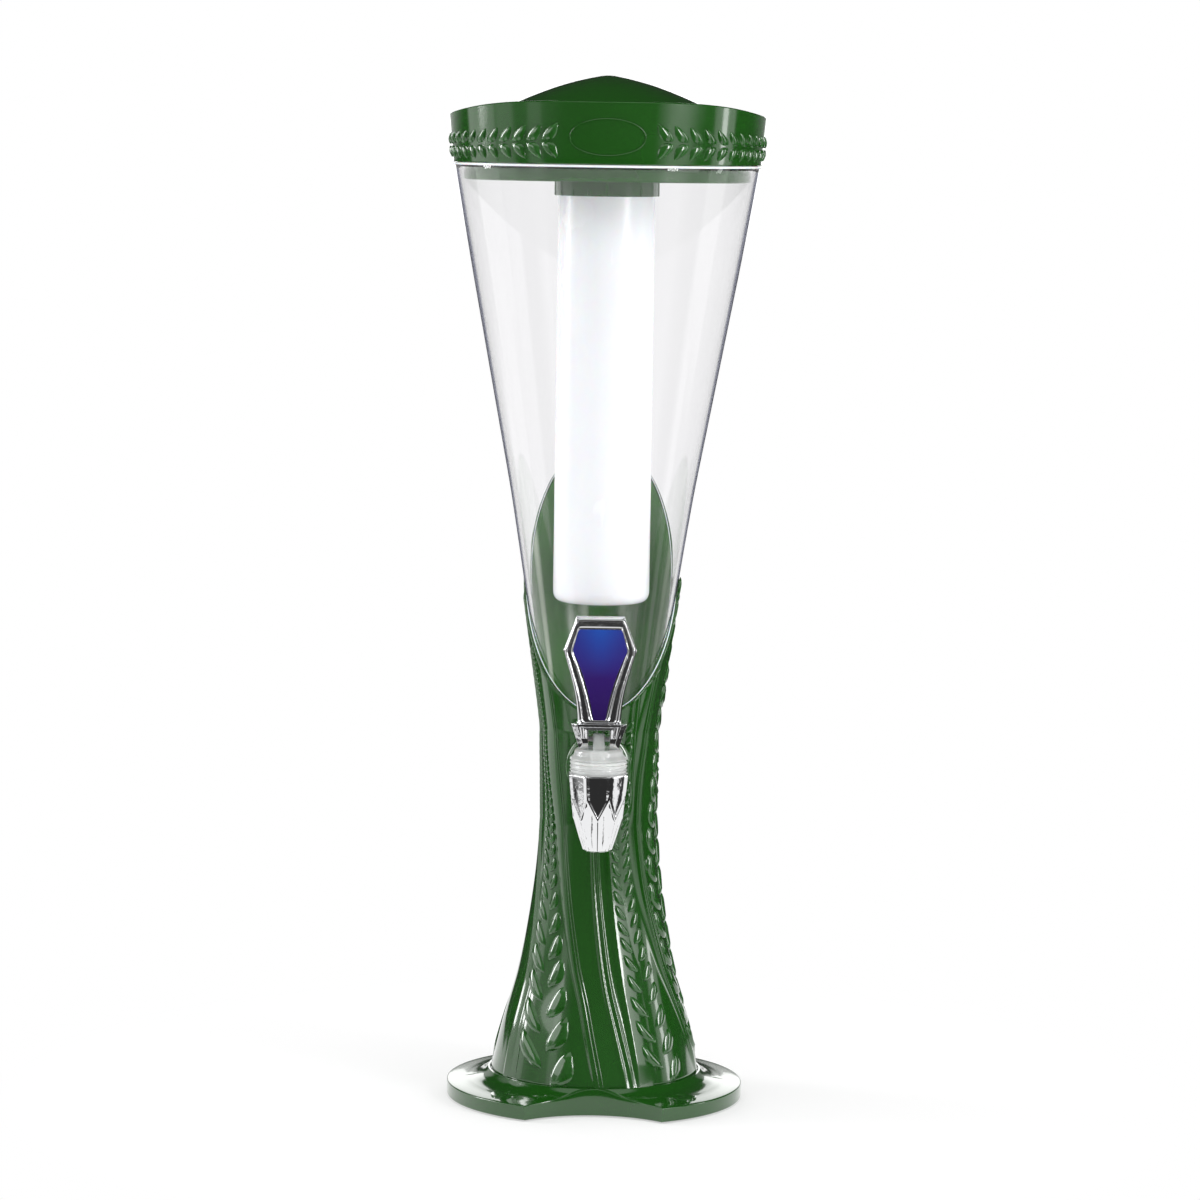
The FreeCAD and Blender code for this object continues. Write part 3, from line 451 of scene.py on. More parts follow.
def new_group(name: str, inputs: dict[str, float], outputs: list[str]) -> tuple[
        Shader, bpy.types.NodeOutputs, bpy.types.NodeInputs]:
    """Empty node group with float inputs and outputs, ready for its nodes.

    Args:
        name: Name of the group.
        inputs: Names and usual values of its inputs.
        outputs: Names of its outputs.

    Returns:
        A builder for the group's tree, the values that it is given, and those that it gives.
    """
    tree = bpy.data.node_groups.new(name, "ShaderNodeTree")
    kind = "NodeSocketFloat"
    for key, value in inputs.items():
        tree.interface.new_socket(key, in_out="INPUT", socket_type=kind).default_value = value
    for key in outputs:
        tree.interface.new_socket(key, in_out="OUTPUT", socket_type=kind)
    given, end = tree.nodes.new("NodeGroupInput"), tree.nodes.new("NodeGroupOutput")
    return Shader(tree), given.outputs, end.inputs


def moulding_group() -> bpy.types.NodeTree:
    """Group for a moulded skin: soft waves and fine grain as height, slow tone drift, and smears
    with fine scratches as a roughness mask, all from noise in the piece's own coordinates.

    Returns:
        The group's tree.
    """
    made, given, end = new_group(
        "moulded_skin", {"Wave Size": 22.0, "Grain Size": 900.0}, ["Height", "Tone", "Smear"])
    place = made.place()
    wave = made.maths("MULTIPLY", made.noise(place, given["Wave Size"]), 0.85)
    grain = made.maths("MULTIPLY", made.noise(place, given["Grain Size"]), 0.15)
    stretch = made.node("Mapping", Vector=place, Scale=(260.0, 260.0, 9.0))
    scratches = made.ramp(made.noise(stretch.outputs[0], 1.0, 3.0), 0.60, 0.72)
    patches = made.ramp(made.noise(place, 30.0, 4.0), 0.42, 0.68)
    smear = made.maths("ADD", made.maths("MULTIPLY", patches, 0.7),
                       made.maths("MULTIPLY", scratches, 0.3))
    tone = made.ramp(made.noise(place, 9.0, 3.0), 0.3, 0.7)
    made.tree.links.new(made.maths("ADD", wave, grain), end["Height"])
    made.tree.links.new(tone, end["Tone"])
    made.tree.links.new(smear, end["Smear"])
    return made.tree


def wear_group() -> bpy.types.NodeTree:
    """Group for worn edges: how far the shape bulges at a point, broken up by noise.

    Returns:
        The group's tree.
    """
    made, given, end = new_group("edge_wear", {"Amount": 1.0}, ["Wear"])
    bulge = made.ramp(made.node("NewGeometry").outputs["Pointiness"], 0.52, 0.60)
    patches = made.ramp(made.noise(made.place(), 140.0, 3.0), 0.35, 0.65)
    broken = made.maths("MULTIPLY", bulge, patches)
    wear = made.maths("MULTIPLY", broken, given["Amount"], clamp=True)
    made.tree.links.new(wear, end["Wear"])
    return made.tree


GROUPS = {"moulded_skin": moulding_group, "edge_wear": wear_group}


def shared_group(name: str) -> bpy.types.NodeTree:
    """The shared node group of that name, built when it is first asked for."""
    return bpy.data.node_groups.get(name) or GROUPS[name]()


@dataclass(frozen=True)
class Finish:
    """One finish: its colours, gloss and skin. Colours are linear."""

    name: str
    color: tuple[float, float, float]
    tone: tuple[float, float, float]
    roughness: float = 0.2
    rough_smear: float = 0.1
    metallic: float = 0.0
    coat: float = 0.0
    coat_roughness: float = 0.05
    ior: float = 1.5
    transmission: float = 0.0
    subsurface: float = 0.0
    wave_size: float = 22.0
    grain_size: float = 900.0
    bump: float = 0.0002
    wear: float = 0.0
    worn_color: tuple[float, float, float] = (0.5, 0.5, 0.5)
    paint: Optional[Callable[[Shader, bpy.types.NodeSocket], bpy.types.NodeSocket]] = None
    clear_shadow: bool = False

    def material(self) -> bpy.types.Material:
        """The material, built when it is first asked for."""
        return bpy.data.materials.get(self.name) or self.mixed_up()

    def mixed_up(self) -> bpy.types.Material:
        """Builds the material: colour drifts between two tones, smears change the roughness,
        the moulded skin bends the surface, and edges may show wear.

        Returns:
            The material.
        """
        made = bpy.data.materials.new(self.name)
        shader = Shader.blank(made)
        skin = shader.node("Group", p_node_tree=shared_group("moulded_skin"),
                           Wave_Size=self.wave_size, Grain_Size=self.grain_size)
        color = shader.mix(skin.outputs["Tone"], (*self.color, 1.0), (*self.tone, 1.0))
        if self.paint is not None:
            color = self.paint(shader, color)
        rough = shader.ramp(skin.outputs["Smear"], 0.0, 1.0, self.roughness,
                            self.roughness + self.rough_smear)
        if self.wear > 0:
            worn = shader.node("Group", p_node_tree=shared_group("edge_wear"), Amount=self.wear)
            color = shader.mix(worn.outputs["Wear"], color, (*self.worn_color, 1.0))
        bump = shader.node("Bump", Strength=1.0, Distance=self.bump, Height=skin.outputs["Height"])
        surface = shader.node(
            "BsdfPrincipled", Base_Color=color, Roughness=rough, Metallic=self.metallic,
            IOR=self.ior, Normal=bump.outputs[0], Coat_Weight=self.coat,
            Coat_Roughness=self.coat_roughness, Transmission_Weight=self.transmission,
            Subsurface_Weight=self.subsurface, Subsurface_Scale=0.004)
        result = surface.outputs[0]
        if self.clear_shadow:
            path = shader.node("LightPath")
            clear = shader.node("BsdfTransparent", Color=(0.99, 0.99, 0.99, 1.0))
            dim = shader.maths("MAXIMUM", path.outputs["Is Shadow Ray"],
                               path.outputs["Is Diffuse Ray"])
            mixed = shader.node("MixShader", Fac=dim, in1=result, in2=clear.outputs[0])
            result = mixed.outputs[0]
        shader.node("OutputMaterial", Surface=result)
        return made


def badge_paint(shader: Shader, color: bpy.types.NodeSocket) -> bpy.types.NodeSocket:
    """Blends the plate's colour from bright blue at the middle of its head to deep violet.

    Args:
        shader: Builder of the material.
        color: Colour of the bare finish.

    Returns:
        The painted colour.
    """
    across, _, height = shader.axes()
    side = shader.ramp(shader.maths("ABSOLUTE", across), 0.002, 0.014)
    middle = shader.maths("SUBTRACT", 1.0, shader.maths("MULTIPLY", side, 0.55))
    glow = shader.maths("MULTIPLY", shader.ramp(height, 0.262, 0.292), middle)
    lower = shader.mix(shader.ramp(height, 0.238, 0.272), (0.017, 0.002, 0.082, 1.0), color)
    return shader.mix(glow, lower, (0.008, 0.062, 0.36, 1.0))


def paint_nest_reflections(shader: Shader, color: bpy.types.NodeSocket) -> bpy.types.NodeSocket:
    """Painted reflections: pale upright streaks, by two sines of the angle round the nest,
    strongest at the left, the side of the main lamps.

    Args:
        shader: Builder of the material.
        color: Colour of the bare finish.

    Returns:
        The painted colour.
    """
    x, y, _ = shader.axes()
    turn = shader.maths("ARCTAN2", x, y)
    fine, broad = (
        shader.maths("SINE", shader.maths("ADD", shader.maths("MULTIPLY", turn, count), start))
        for count, start in ((23.0, 0.6), (9.0, 4.4)))
    # pale painted reflection streaks, stronger towards the left-hand lamps
    reflected_streak = shader.ramp(shader.maths("ADD", shader.maths("MULTIPLY", fine, 0.6), broad), 0.3, 1.4)
    left = shader.ramp(turn, -0.9, 0.5, 0.9, 0.4)
    return shader.mix(shader.maths("MULTIPLY", reflected_streak, left), color, (0.7, 0.8, 0.64, 1.0))


def painted_edge_shade(shader: Shader, color: bpy.types.NodeSocket) -> bpy.types.NodeSocket:
    """Painted shade: deepens the clear wall to a violet grey where its outer face is seen edge on,
    in place of the dark refraction at the wall's silhouette: the outer face is what lies beyond
    the middle of the wall, whose radius grows with the height.

    Args:
        shader: Builder of the material.
        color: Colour of the bare finish.

    Returns:
        The painted colour.
    """
    x, y, z = shader.axes()
    half_wall = 0.0013
    cone, bend = (
        shader.maths("ADD", shader.maths("MULTIPLY", z, slope), radius - half_wall - height * slope)
        for slope, radius, height in ((0.18673, 0.0544, 0.3648), (0.157, 0.031, 0.216)))
    outer = shader.maths("GREATER_THAN", shader.span(x, y), shader.maths("MAXIMUM", cone, bend))
    facing = shader.node("LayerWeight", Blend=0.5).outputs["Facing"]
    edge = shader.maths("MULTIPLY", shader.ramp(facing, 0.74, 0.80), outer)
    below_shoulder = shader.ramp(z, 0.5570, 0.5590, 1.0, 0.0)
    share = shader.maths("MULTIPLY", edge, below_shoulder)
    # violet grey: painted shade at the clear wall's edges
    return shader.mix(share, color, (0.16, 0.17, 0.25, 1.0))


GREEN = Finish(
    "green_gloss", (0.0072, 0.059, 0.0036), (0.0098, 0.069, 0.006), roughness=0.09,
    rough_smear=0.07, coat=0.8, ior=1.54, bump=0.0001, wear=0.3, worn_color=(0.05, 0.18, 0.045))
# Painted light: a lighter green than the column, with painted reflection streaks, for the lit nest
# wall seen through the vessel
NEST_PAINTED_LIGHT = Finish(
    "nest_painted_light", (0.055, 0.19, 0.04), (0.07, 0.22, 0.052), bump=0.0001, paint=paint_nest_reflections)
# its edges carry painted shade where the wall is seen edge on
CLEAR = Finish(
    "clear_moulding", (0.968, 0.966, 0.972), (0.96, 0.958, 0.966), roughness=0.01,
    rough_smear=0.015, ior=1.45, transmission=1.0, bump=0.00002, wave_size=14.0, grain_size=120.0,
    clear_shadow=True, paint=painted_edge_shade)
FROSTED = Finish(
    "frosted_moulding", (0.92, 0.91, 0.935), (0.895, 0.885, 0.915), rough_smear=0.12,
    subsurface=0.25, bump=0.00003, wave_size=9.0)
CHROME = Finish(
    "bright_chrome", (0.86, 0.86, 0.87), (0.8, 0.81, 0.82), roughness=0.03, rough_smear=0.07,
    metallic=1.0, bump=0.0003, wave_size=90.0, grain_size=500.0, wear=0.2,
    worn_color=(0.95, 0.95, 0.95))
BONNET = Finish(
    "cloudy_bonnet", (0.86, 0.87, 0.86), (0.72, 0.74, 0.73), roughness=0.06, transmission=0.62,
    wave_size=160.0, clear_shadow=True)
STEM = Finish(
    "clear_stem", (0.9, 0.92, 0.91), (0.82, 0.85, 0.84), roughness=0.08, transmission=0.55,
    wave_size=220.0, clear_shadow=True)
BADGE = Finish(
    "violet_plate", (0.024, 0.005, 0.128), (0.031, 0.007, 0.15), roughness=0.22, rough_smear=0.08,
    coat=0.8, coat_roughness=0.04, bump=0.00003, grain_size=3000.0, paint=badge_paint)
RUBBER = Finish(
    "black_rubber_skin", (0.02, 0.02, 0.021), (0.035, 0.035, 0.036), roughness=0.62,
    rough_smear=0.2, bump=0.0003, wear=0.4, worn_color=(0.1, 0.1, 0.1))
SILICONE = Finish(
    "cloudy_silicone", (0.72, 0.72, 0.69), (0.62, 0.62, 0.59), roughness=0.4, rough_smear=0.2,
    subsurface=0.3)
NYLON = Finish(
    "white_nylon", (0.76, 0.75, 0.71), (0.7, 0.69, 0.65), roughness=0.38, rough_smear=0.15,
    subsurface=0.2)
STEEL = Finish(
    "turned_steel", (0.58, 0.58, 0.59), (0.48, 0.48, 0.5), roughness=0.24, rough_smear=0.16,
    metallic=1.0, bump=0.0001, grain_size=1800.0, wear=0.3, worn_color=(0.8, 0.8, 0.8))


# ----------------------------------------------------------------- the tower
@dataclass
class Vessel:
    """Clear tapered vessel: a closed shell with two walls, and a pale bead under its shoulder that
    is a painted highlight of the shoulder's edge.
    """

    wall: float = 2.6
    bottom: float = 183.2
    corner: float = 6.0
    neck: float = 31.0
    neck_top: float = 204.0
    cone_start: float = 385.0
    cone: Table = ((364.8, 560.8), (54.4, 91.0))
    shoulder: float = 560.8
    spigot_radius: float = 88.1
    spigot_top: float = 578.0
    # pale frosted bead: a painted highlight of the shoulder's edge
    bead: tuple[float, float, float] = (90.6, 560.0, 0.75)
    sides: Table = ((183.2, 204.0, 216.0, 230.0, 250.0, 300.0, 345.0, 364.8, 385.0, 560.8),
                    (31.0, 31.0, 31.45, 33.25, 36.3, 44.2, 51.25, 54.5, 58.15, 91.0))

    def radius(self, height: np.ndarray) -> np.ndarray:
        """Outer radius: straight neck, a slow bend, then a straight cone to the shoulder.

        Args:
            height: Heights above the table, in millimetres.

        Returns:
            The radius at each height.
        """
        (low, high), (narrow, wide) = self.cone
        cone = narrow + (wide - narrow) * (height - low) / (high - low)
        bend = np.where(height < self.neck_top, self.neck, smooth_through(height, self.sides))
        return np.where(height > self.cone_start, cone, bend)

    def wall_line(self, inset: float, top: float) -> np.ndarray:
        """Profile from the axis over the round bottom corner, a quarter circle, and up the side.

        Args:
            inset: Distance inside the outer face.
            top: Height at which the profile ends.

        Returns:
            Rows of radius and height.
        """
        corner = self.corner - inset
        turn = np.linspace(0, np.pi / 2, 9)
        round_part = np.stack([self.neck - self.corner + corner * np.sin(turn),
                               self.bottom + self.corner - corner * np.cos(turn)], -1)
        heights = np.linspace(self.bottom + self.corner + 1.0, top, 90)
        side = np.stack([self.radius(heights) - inset, heights], -1)
        return np.concatenate([[[0.0, self.bottom + inset]], round_part, side])

    def build(self) -> None:
        """Turns the outer wall, shoulder, spigot and inner wall as one closed profile, and a
        small circle for the bead, the painted highlight under the shoulder."""
        outer = self.wall_line(0.0, self.shoulder - 0.6)
        inner = self.wall_line(self.wall, self.shoulder - self.wall)
        mouth = self.spigot_radius
        rim = rounded([(90.9, self.shoulder, 0.6), (mouth, self.shoulder, 0.6),
                       (mouth, self.spigot_top, 0.8), (mouth - self.wall, self.spigot_top, 0.8),
                       (mouth - self.wall, self.shoulder - self.wall + 1.5, 1.2)])
        profile = np.concatenate([outer, rim[2:-2], inner[::-1]])
        piece = lathe("vessel_shell", profile, 192).build(Body.TOWER, Slot.CLEAR, CLEAR)
        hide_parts("vessel")
        # frosted bead under the shoulder: a painted highlight line
        turn = np.linspace(0, 2 * np.pi, 18)[:-1, None]
        radius, height, gauge = self.bead
        bead = np.array([[radius, height]]) + gauge * np.hstack([np.cos(turn), np.sin(turn)])
        lathe("vessel_lip", bead, 192, loop=True).build(Body.TOWER, Slot.CLEAR, FROSTED)


@dataclass(frozen=True)
class Line:
    """Line up the column, as heights and the angles there in degrees, with its relief.

    Attributes:
        path: Heights, and the angles at them.
        lift: Height of its ridge in millimetres, or of its crease.
        spread: Half width of the ridge, or width of the flank left of the crease.
        fall: Width of the flank right of the crease, where the line is a crease.
        faces: Azimuths that the left and right flanks of a crease keep facing. Their widths
            follow from them in place of spread and fall.
        ribs: Sideways place, half width and height of low ribs beside it.
        beads: Sideways place and radius of each round bead at mid height.
        span: Heights between which the relief shows.
        fade: Height over which it fades at the ends of its span.
        rounding: How much the left flank of a crease swells.
    """

    path: Table
    lift: float = 0.0
    spread: float = 4.0
    fall: float = 0.0
    faces: tuple[Optional[float], Optional[float]] = (None, None)
    ribs: tuple[tuple[float, float, float], ...] = ()
    beads: tuple[tuple[float, float], ...] = ()
    span: tuple[float, float] = (0.0, 1000.0)
    fade: float = 15.0
    rounding: float = 0.45

    def side(self, angle: np.ndarray, height: np.ndarray, radius: np.ndarray) -> np.ndarray:
        """Distance along the surface from the line, positive to the right, in millimetres."""
        turn = np.degrees(angle) - smooth_through(height, self.path)
        return np.radians(np.mod(turn + 180.0, 360.0) - 180.0) * radius

    def relief(self, distance: np.ndarray, height: np.ndarray) -> np.ndarray:
        """Height of the relief: a raised cosine for a ridge, or a rounded flank and a straight
        one that meet in a crease, with the low ribs.

        Args:
            distance: Distances from the line, positive to the right.
            height: Heights above the table.

        Returns:
            The relief at each place, in millimetres.
        """
        ends = np.minimum(height - self.span[0], self.span[1] - height)
        shown = np.clip(ends / self.fade, 0, 1)
        if self.fall:
            widths = [np.full_like(height, self.spread), np.full_like(height, self.fall)]
            for number, azimuth in enumerate(self.faces):
                if azimuth is not None:
                    tilt = np.abs(azimuth - smooth_through(height, self.path))
                    slope = np.tan(np.radians(np.clip(tilt, 6.0, 60.0)))
                    widths[number] = np.clip(self.lift / slope, 0.7, 14.0)
            climb = np.clip(1 + distance / widths[0], 0, 1)
            drop = np.clip(1 - distance / widths[1], 0, 1)
            made = self.lift * np.minimum(climb + self.rounding * climb * (1 - climb), drop)
        else:
            share = np.clip(np.abs(distance) / self.spread, 0, 1)
            made = self.lift * ((1 + np.cos(np.pi * share)) / 2) ** 1.2
        opening = spreading(height)
        for place, half, lift in self.ribs:
            share = np.clip(np.abs(distance - place * opening) / (half * opening), 0, 1)
            made = made + lift * (1 - share * share) ** 1.5
        return shown * made


def spreading(height: np.ndarray) -> np.ndarray:
    """Share by which ribs and beads spread and thicken from the waist to the foot."""
    return np.interp(height, (16.0, 70.0, 150.0), (1.3, 1.0, 0.75))


def lens_arch(ring: np.ndarray) -> np.ndarray:
    """Rise of a leaf round its section: the power 0.75 of the sine, with the sine's sign."""
    return np.sign(np.sin(ring)) * np.abs(np.sin(ring)) ** 0.75


@dataclass(frozen=True)
class LeafBand:
    """Band of leaf pairs up the column.

    Attributes:
        spine: Heights, and the angles of the spine there in degrees.
        length: Heights, and the length of a leaf there.
        pitch: Heights, and the rise from one pair to the next.
        lean: Heights, and the lean of the leaves away from the spine in degrees.
        ends: Lowest and highest leaf.
    """

    spine: Table
    length: Table
    pitch: Table
    lean: Table
    ends: tuple[float, float]

    def levels(self) -> np.ndarray:
        """Heights at which pairs start: each one a pitch above the last.

        Returns:
            The heights, from the lowest up.
        """
        rows = [self.ends[0]]
        while rows[-1] < self.ends[1]:
            rows.append(rows[-1] + float(smooth_through(np.array(rows[-1]), self.pitch)))
        return np.array(rows[:-1])


LARGE_LEFT = LeafBand(
    spine=((16.0, 35.0, 66.0, 97.0, 122.0, 158.0, 201.0, 245.0, 400.0),
           (-26.5, -31.5, -37.0, -43.0, -47.5, -53.5, -63.0, -72.0, -90.0)),
    length=((16.0, 50.0, 75.0, 100.0, 125.0, 142.0, 400.0),
            (25.0, 21.5, 18.6, 15.4, 11.2, 9.2, 9.0)),
    pitch=((16.0, 50.0, 80.0, 110.0, 125.0, 145.0, 400.0),
           (20.5, 17.6, 15.0, 13.4, 11.0, 8.0, 8.0)),
    lean=((16.0, 60.0, 100.0, 400.0), (37.0, 31.0, 26.0, 27.0)), ends=(17.5, 365.0))
SMALL_RIGHT = LeafBand(
    spine=((16.0, 35.0, 64.0, 86.0, 106.0, 132.0, 160.0, 200.0, 300.0),
           (46.5, 43.0, 38.0, 34.5, 29.5, 25.0, 22.5, 24.0, 30.5)),
    length=((16.0, 50.0, 75.0, 100.0, 125.0, 400.0), (18.5, 15.8, 13.0, 11.0, 10.0, 9.0)),
    pitch=((16.0, 50.0, 75.0, 100.0, 125.0, 400.0), (16.0, 14.6, 11.8, 9.6, 8.6, 8.6)),
    lean=((16.0, 60.0, 100.0, 400.0), (36.0, 36.0, 32.0, 30.0)), ends=(18.5, 228.0))
LARGE_RIGHT = LeafBand(
    spine=((16.0, 38.0, 73.0, 108.0, 142.0, 161.0, 191.0, 229.0, 290.0, 400.0),
           (98.0, 92.0, 86.0, 79.0, 75.0, 77.0, 85.0, 97.0, 107.0, 120.0)),
    length=((16.0, 60.0, 120.0, 200.0, 400.0), (24.0, 21.0, 19.0, 17.0, 14.0)),
    pitch=((16.0, 60.0, 120.0, 200.0, 400.0), (19.0, 17.5, 17.0, 13.8, 13.0)),
    lean=((16.0, 60.0, 120.0, 400.0), (34.0, 28.0, 25.0, 25.0)), ends=(18.0, 370.0))
LINES = (
    Line(((16.0, 44.0, 64.0, 87.0, 104.0, 124.0, 145.0, 174.0, 196.0, 224.0, 250.0, 400.0),
          (1.0, -4.5, -9.0, -16.5, -21.5, -27.0, -32.0, -38.0, -43.0, -48.0, -51.0, -66.0)),
         lift=1.5, spread=2.0, fall=11.0, faces=(-50.0, None), beads=((1.9, 0.45), (3.7, 0.45))),
    Line(((16.0, 40.0, 52.0, 77.0, 110.0, 121.0, 147.0, 180.0, 400.0),
          (20.5, 16.0, 13.5, 8.0, 2.6, 1.0, -2.0, -4.0, -4.0)),
         lift=0.5, spread=7.0, ribs=((-1.9, 1.6, 0.75), (1.9, 1.6, 0.75))),
    Line(((16.0, 44.0, 62.0, 80.0, 96.0, 121.0, 150.0, 400.0),
          (26.5, 23.5, 21.5, 19.0, 17.0, 14.0, 11.0, 14.0)),
         lift=1.4, spread=3.0, fall=12.0, faces=(None, 24.5)),
    Line(((16.0, 37.0, 53.0, 68.0, 82.0, 106.0, 130.0, 146.0, 178.0, 196.0, 222.0, 247.0, 400.0),
          (84.0, 76.0, 71.5, 67.0, 62.0, 55.0, 48.0, 45.0, 42.5, 44.5, 51.0, 55.5, 62.0)),
         lift=1.6, spread=7.5, ribs=((-2.1, 1.6, 0.65), (2.1, 1.6, 0.65))),
    Line(((16.0, 58.0, 90.0, 118.0, 143.0, 200.0, 250.0, 400.0),
          (-60.0, -61.0, -62.0, -67.0, -73.0, -84.0, -90.0, -105.0)),
         lift=1.1, spread=1.6, fall=8.5, faces=(None, -50.0), beads=((8.8, 0.32),)),
    Line(((16.0, 100.0, 182.0, 226.0, 400.0), (33.0, 30.0, 31.0, 33.0, 36.0)),
         lift=1.0, spread=4.0, span=(168.0, 400.0)),
)


@dataclass
class Column:
    """Twisted hollow column: its skin, beads, leaf bands and tap pad."""

    vessel: Vessel
    foot: float = 16.0
    foot_radius: float = 62.4
    waist_radius: float = 34.4
    waist_rise: float = 154.0
    flare: Table = ((0.0, 0.19, 0.383, 0.578, 0.773, 1.0), (1.0, 0.764, 0.464, 0.25, 0.1, 0.0))
    web_top: float = 183.05
    clearance: float = 0.15
    rim_wall: float = 1.75
    lip: float = 0.8
    hollow_wall: float = 3.0
    swell: tuple[float, float, float] = (220.0, 18.0, 0.35)
    highest_relief: float = 2.3
    rooting: float = 16.0
    thinning: tuple[float, float, float] = (225.0, 120.0, 0.72)
    mouth_front: float = 237.5
    mouth_back: float = 392.5
    shank_height: float = 206.0
    columns: int = 540
    rows: int = 150
    half_turns: tuple[float, float] = (0.0, 180.0)
    bands: tuple[LeafBand, ...] = (LARGE_LEFT, SMALL_RIGHT)
    lone_band: LeafBand = LARGE_RIGHT
    lines: tuple[Line, ...] = LINES

    def core_radius(self, height: np.ndarray) -> np.ndarray:
        """Radius under the relief: flared foot, slender waist, then close round the vessel, with
        a slight swell, a bell curve, where the nest begins.

        Args:
            height: Heights above the table.

        Returns:
            The radius at each height.
        """
        share = smooth_through((height - self.foot) / self.waist_rise, self.flare)
        flared = self.waist_radius + (self.foot_radius - self.waist_radius) * share
        middle, width, lift = self.swell
        swell = lift * np.exp(-((height - middle) / width) ** 2)
        return np.maximum(flared, self.nest_radius(height) + self.rim_wall) + swell

    def nest_radius(self, height: np.ndarray) -> np.ndarray:
        """Radius of the nest's wall: the vessel's, and the clearance round it."""
        return self.vessel.radius(height) + self.clearance

    def radius(self, angle: np.ndarray, height: np.ndarray) -> np.ndarray:
        """Radius of the skin: the core plus the relief of each line and of its twin half a turn
        on. The relief grows out of the round foot and thins towards the mouth.

        Args:
            angle: Angles from the front.
            height: Heights above the table.

        Returns:
            The radius at each place.
        """
        core = self.core_radius(height)
        growth = np.clip((height - self.foot) / self.rooting, 0, 1)
        grown = 0.25 + 0.75 * growth * growth * (3 - 2 * growth)
        start, run, loss = self.thinning
        thinned = 1 - loss * np.clip((height - start) / run, 0, 1)
        lift = np.zeros(np.broadcast(angle, height).shape)
        for line in self.lines:
            for turn in self.half_turns:
                lift = lift + line.relief(line.side(angle - np.radians(turn), height, core), height)
        return core + np.minimum(lift, self.highest_relief) * grown * thinned

    def mouth(self, angle: np.ndarray) -> np.ndarray:
        """Height of the oblique mouth: the plane z = a + b y met by the skin, found by stepping
        back and forth between height and radius.

        Args:
            angle: Angles from the front.

        Returns:
            The height at each angle.
        """
        front = self.core_radius(np.array(self.mouth_front))
        back = self.core_radius(np.array(self.mouth_back))
        slope = (self.mouth_back - self.mouth_front) / (front + back)
        height = np.full_like(angle, (self.mouth_front + self.mouth_back) / 2)
        for _ in range(40):
            target = self.mouth_front + slope * (front - self.core_radius(height) * np.cos(angle))
            height = height + 0.6 * (target - height)
        return height

    def build_skin(self) -> None:
        """One closed surface: hollow inside, foot, outer skin, rim rounded as a half circle, nest
        wall and nest floor, as rows over columns of equal angle."""
        angle = np.linspace(-np.pi, np.pi, self.columns, endpoint=False)[None]
        top = self.mouth(angle) - self.lip
        roof = self.web_top - self.hollow_wall
        hollow_z = np.linspace(roof, self.foot, 9)[:, None]
        edge = self.foot_radius - np.array([[self.hollow_wall], [0.4]])
        start = self.foot + 0.5
        outer_z = start + (top - start) * np.linspace(0, 1, self.rows)[:, None] ** 0.96
        out_r, in_r = self.radius(angle, top), self.nest_radius(top)
        roll = np.linspace(0, np.pi, 8)[1:-1, None]
        rim = (out_r + in_r) / 2 + (out_r - in_r) / 2 * np.cos(roll)
        low = self.web_top + self.vessel.corner
        nest_z = low + (top - low) * np.linspace(1, 0, 9)[:, None]
        fall = np.linspace(np.pi / 2, 0, 5)[1:, None]
        corner = self.vessel.corner + self.clearance
        cup = self.vessel.neck - self.vessel.corner + corner * np.sin(fall)
        grid = rows_round(
            angle, (0.0, roof), (self.core_radius(hollow_z) - self.hollow_wall, hollow_z),
            (edge, self.foot), (self.radius(angle, outer_z), outer_z),
            (rim, top + self.lip * np.sin(roll)), (self.nest_radius(nest_z), nest_z),
            (cup, low + self.clearance - corner * np.cos(fall)), (0.0, self.web_top))
        made = Patchwork("column_skin").add(grid, poles=(True, True))
        piece = made.build(Body.TOWER, Slot.GREEN, GREEN, sharp=50.0)
        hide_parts("column")

    def build_painted_light_pieces(self) -> None:
        """Thin sheet of painted light in the gap between the nest's wall and the vessel, lighter
        than the column and with painted reflection streaks, and a pale round bead that follows the
        rim, a painted highlight along the mouth."""
        angle = np.linspace(-np.pi, np.pi, 200, endpoint=False)[None]
        low, top = self.web_top + self.vessel.corner + 4.0, self.mouth(angle) - 2.0
        height = low + (top - low) * np.linspace(0, 1, 40)[:, None]
        faces = [(self.vessel.radius(z) + share * self.clearance, z)
                 for share, z in ((0.8, height), (0.45, height[::-1]))]
        made = Patchwork("nest_painted_light_lining").add(rows_round(angle, *faces), wrap_rows=True)
        # the lining's colour is painted light: the lit nest wall and its reflections
        made.build(Body.TOWER, Slot.GREEN, NEST_PAINTED_LIGHT)
        # Pale frosted bead along the mouth's rim: a painted highlight where the rim catches the
        # light
        turn = np.linspace(-np.pi, np.pi, 240, endpoint=False)
        rim = self.mouth(turn) - 0.15
        middle = turned(self.vessel.radius(rim) + 0.5 * self.clearance, turn, rim)
        ring = np.linspace(0, 2 * np.pi, 10, endpoint=False)[None, :, None]
        section = np.cos(ring) * outwards(turn)[:, None] + np.sin(ring) * np.array([0.0, 0.0, 1.0])
        rim_glint = Patchwork("mouth_painted_highlight").add(middle[:, None] + 0.42 * section, wrap_rows=True)
        rim_glint.build(Body.TOWER, Slot.CLEAR, FROSTED)

    def on_skin(self, angle: np.ndarray, height: np.ndarray, lift: np.ndarray) -> np.ndarray:
        """Points on the skin, or above it by a lift, in millimetres."""
        return turned(self.radius(angle, height) + lift, angle, height)

    def outward(self, angle: np.ndarray, height: np.ndarray) -> np.ndarray:
        """Unit normals of the skin: its slope along the angle times its slope along the height.

        Args:
            angle: Angles from the front.
            height: Heights above the table.

        Returns:
            The normal at each place.
        """
        step = 0.5
        by = step / self.core_radius(height)
        across = self.on_skin(angle + by, height, 0) - self.on_skin(angle - by, height, 0)
        up = self.on_skin(angle, height + step, 0) - self.on_skin(angle, height - step, 0)
        normal = np.cross(across, up)
        return normal / np.linalg.norm(normal, axis=-1, keepdims=True)

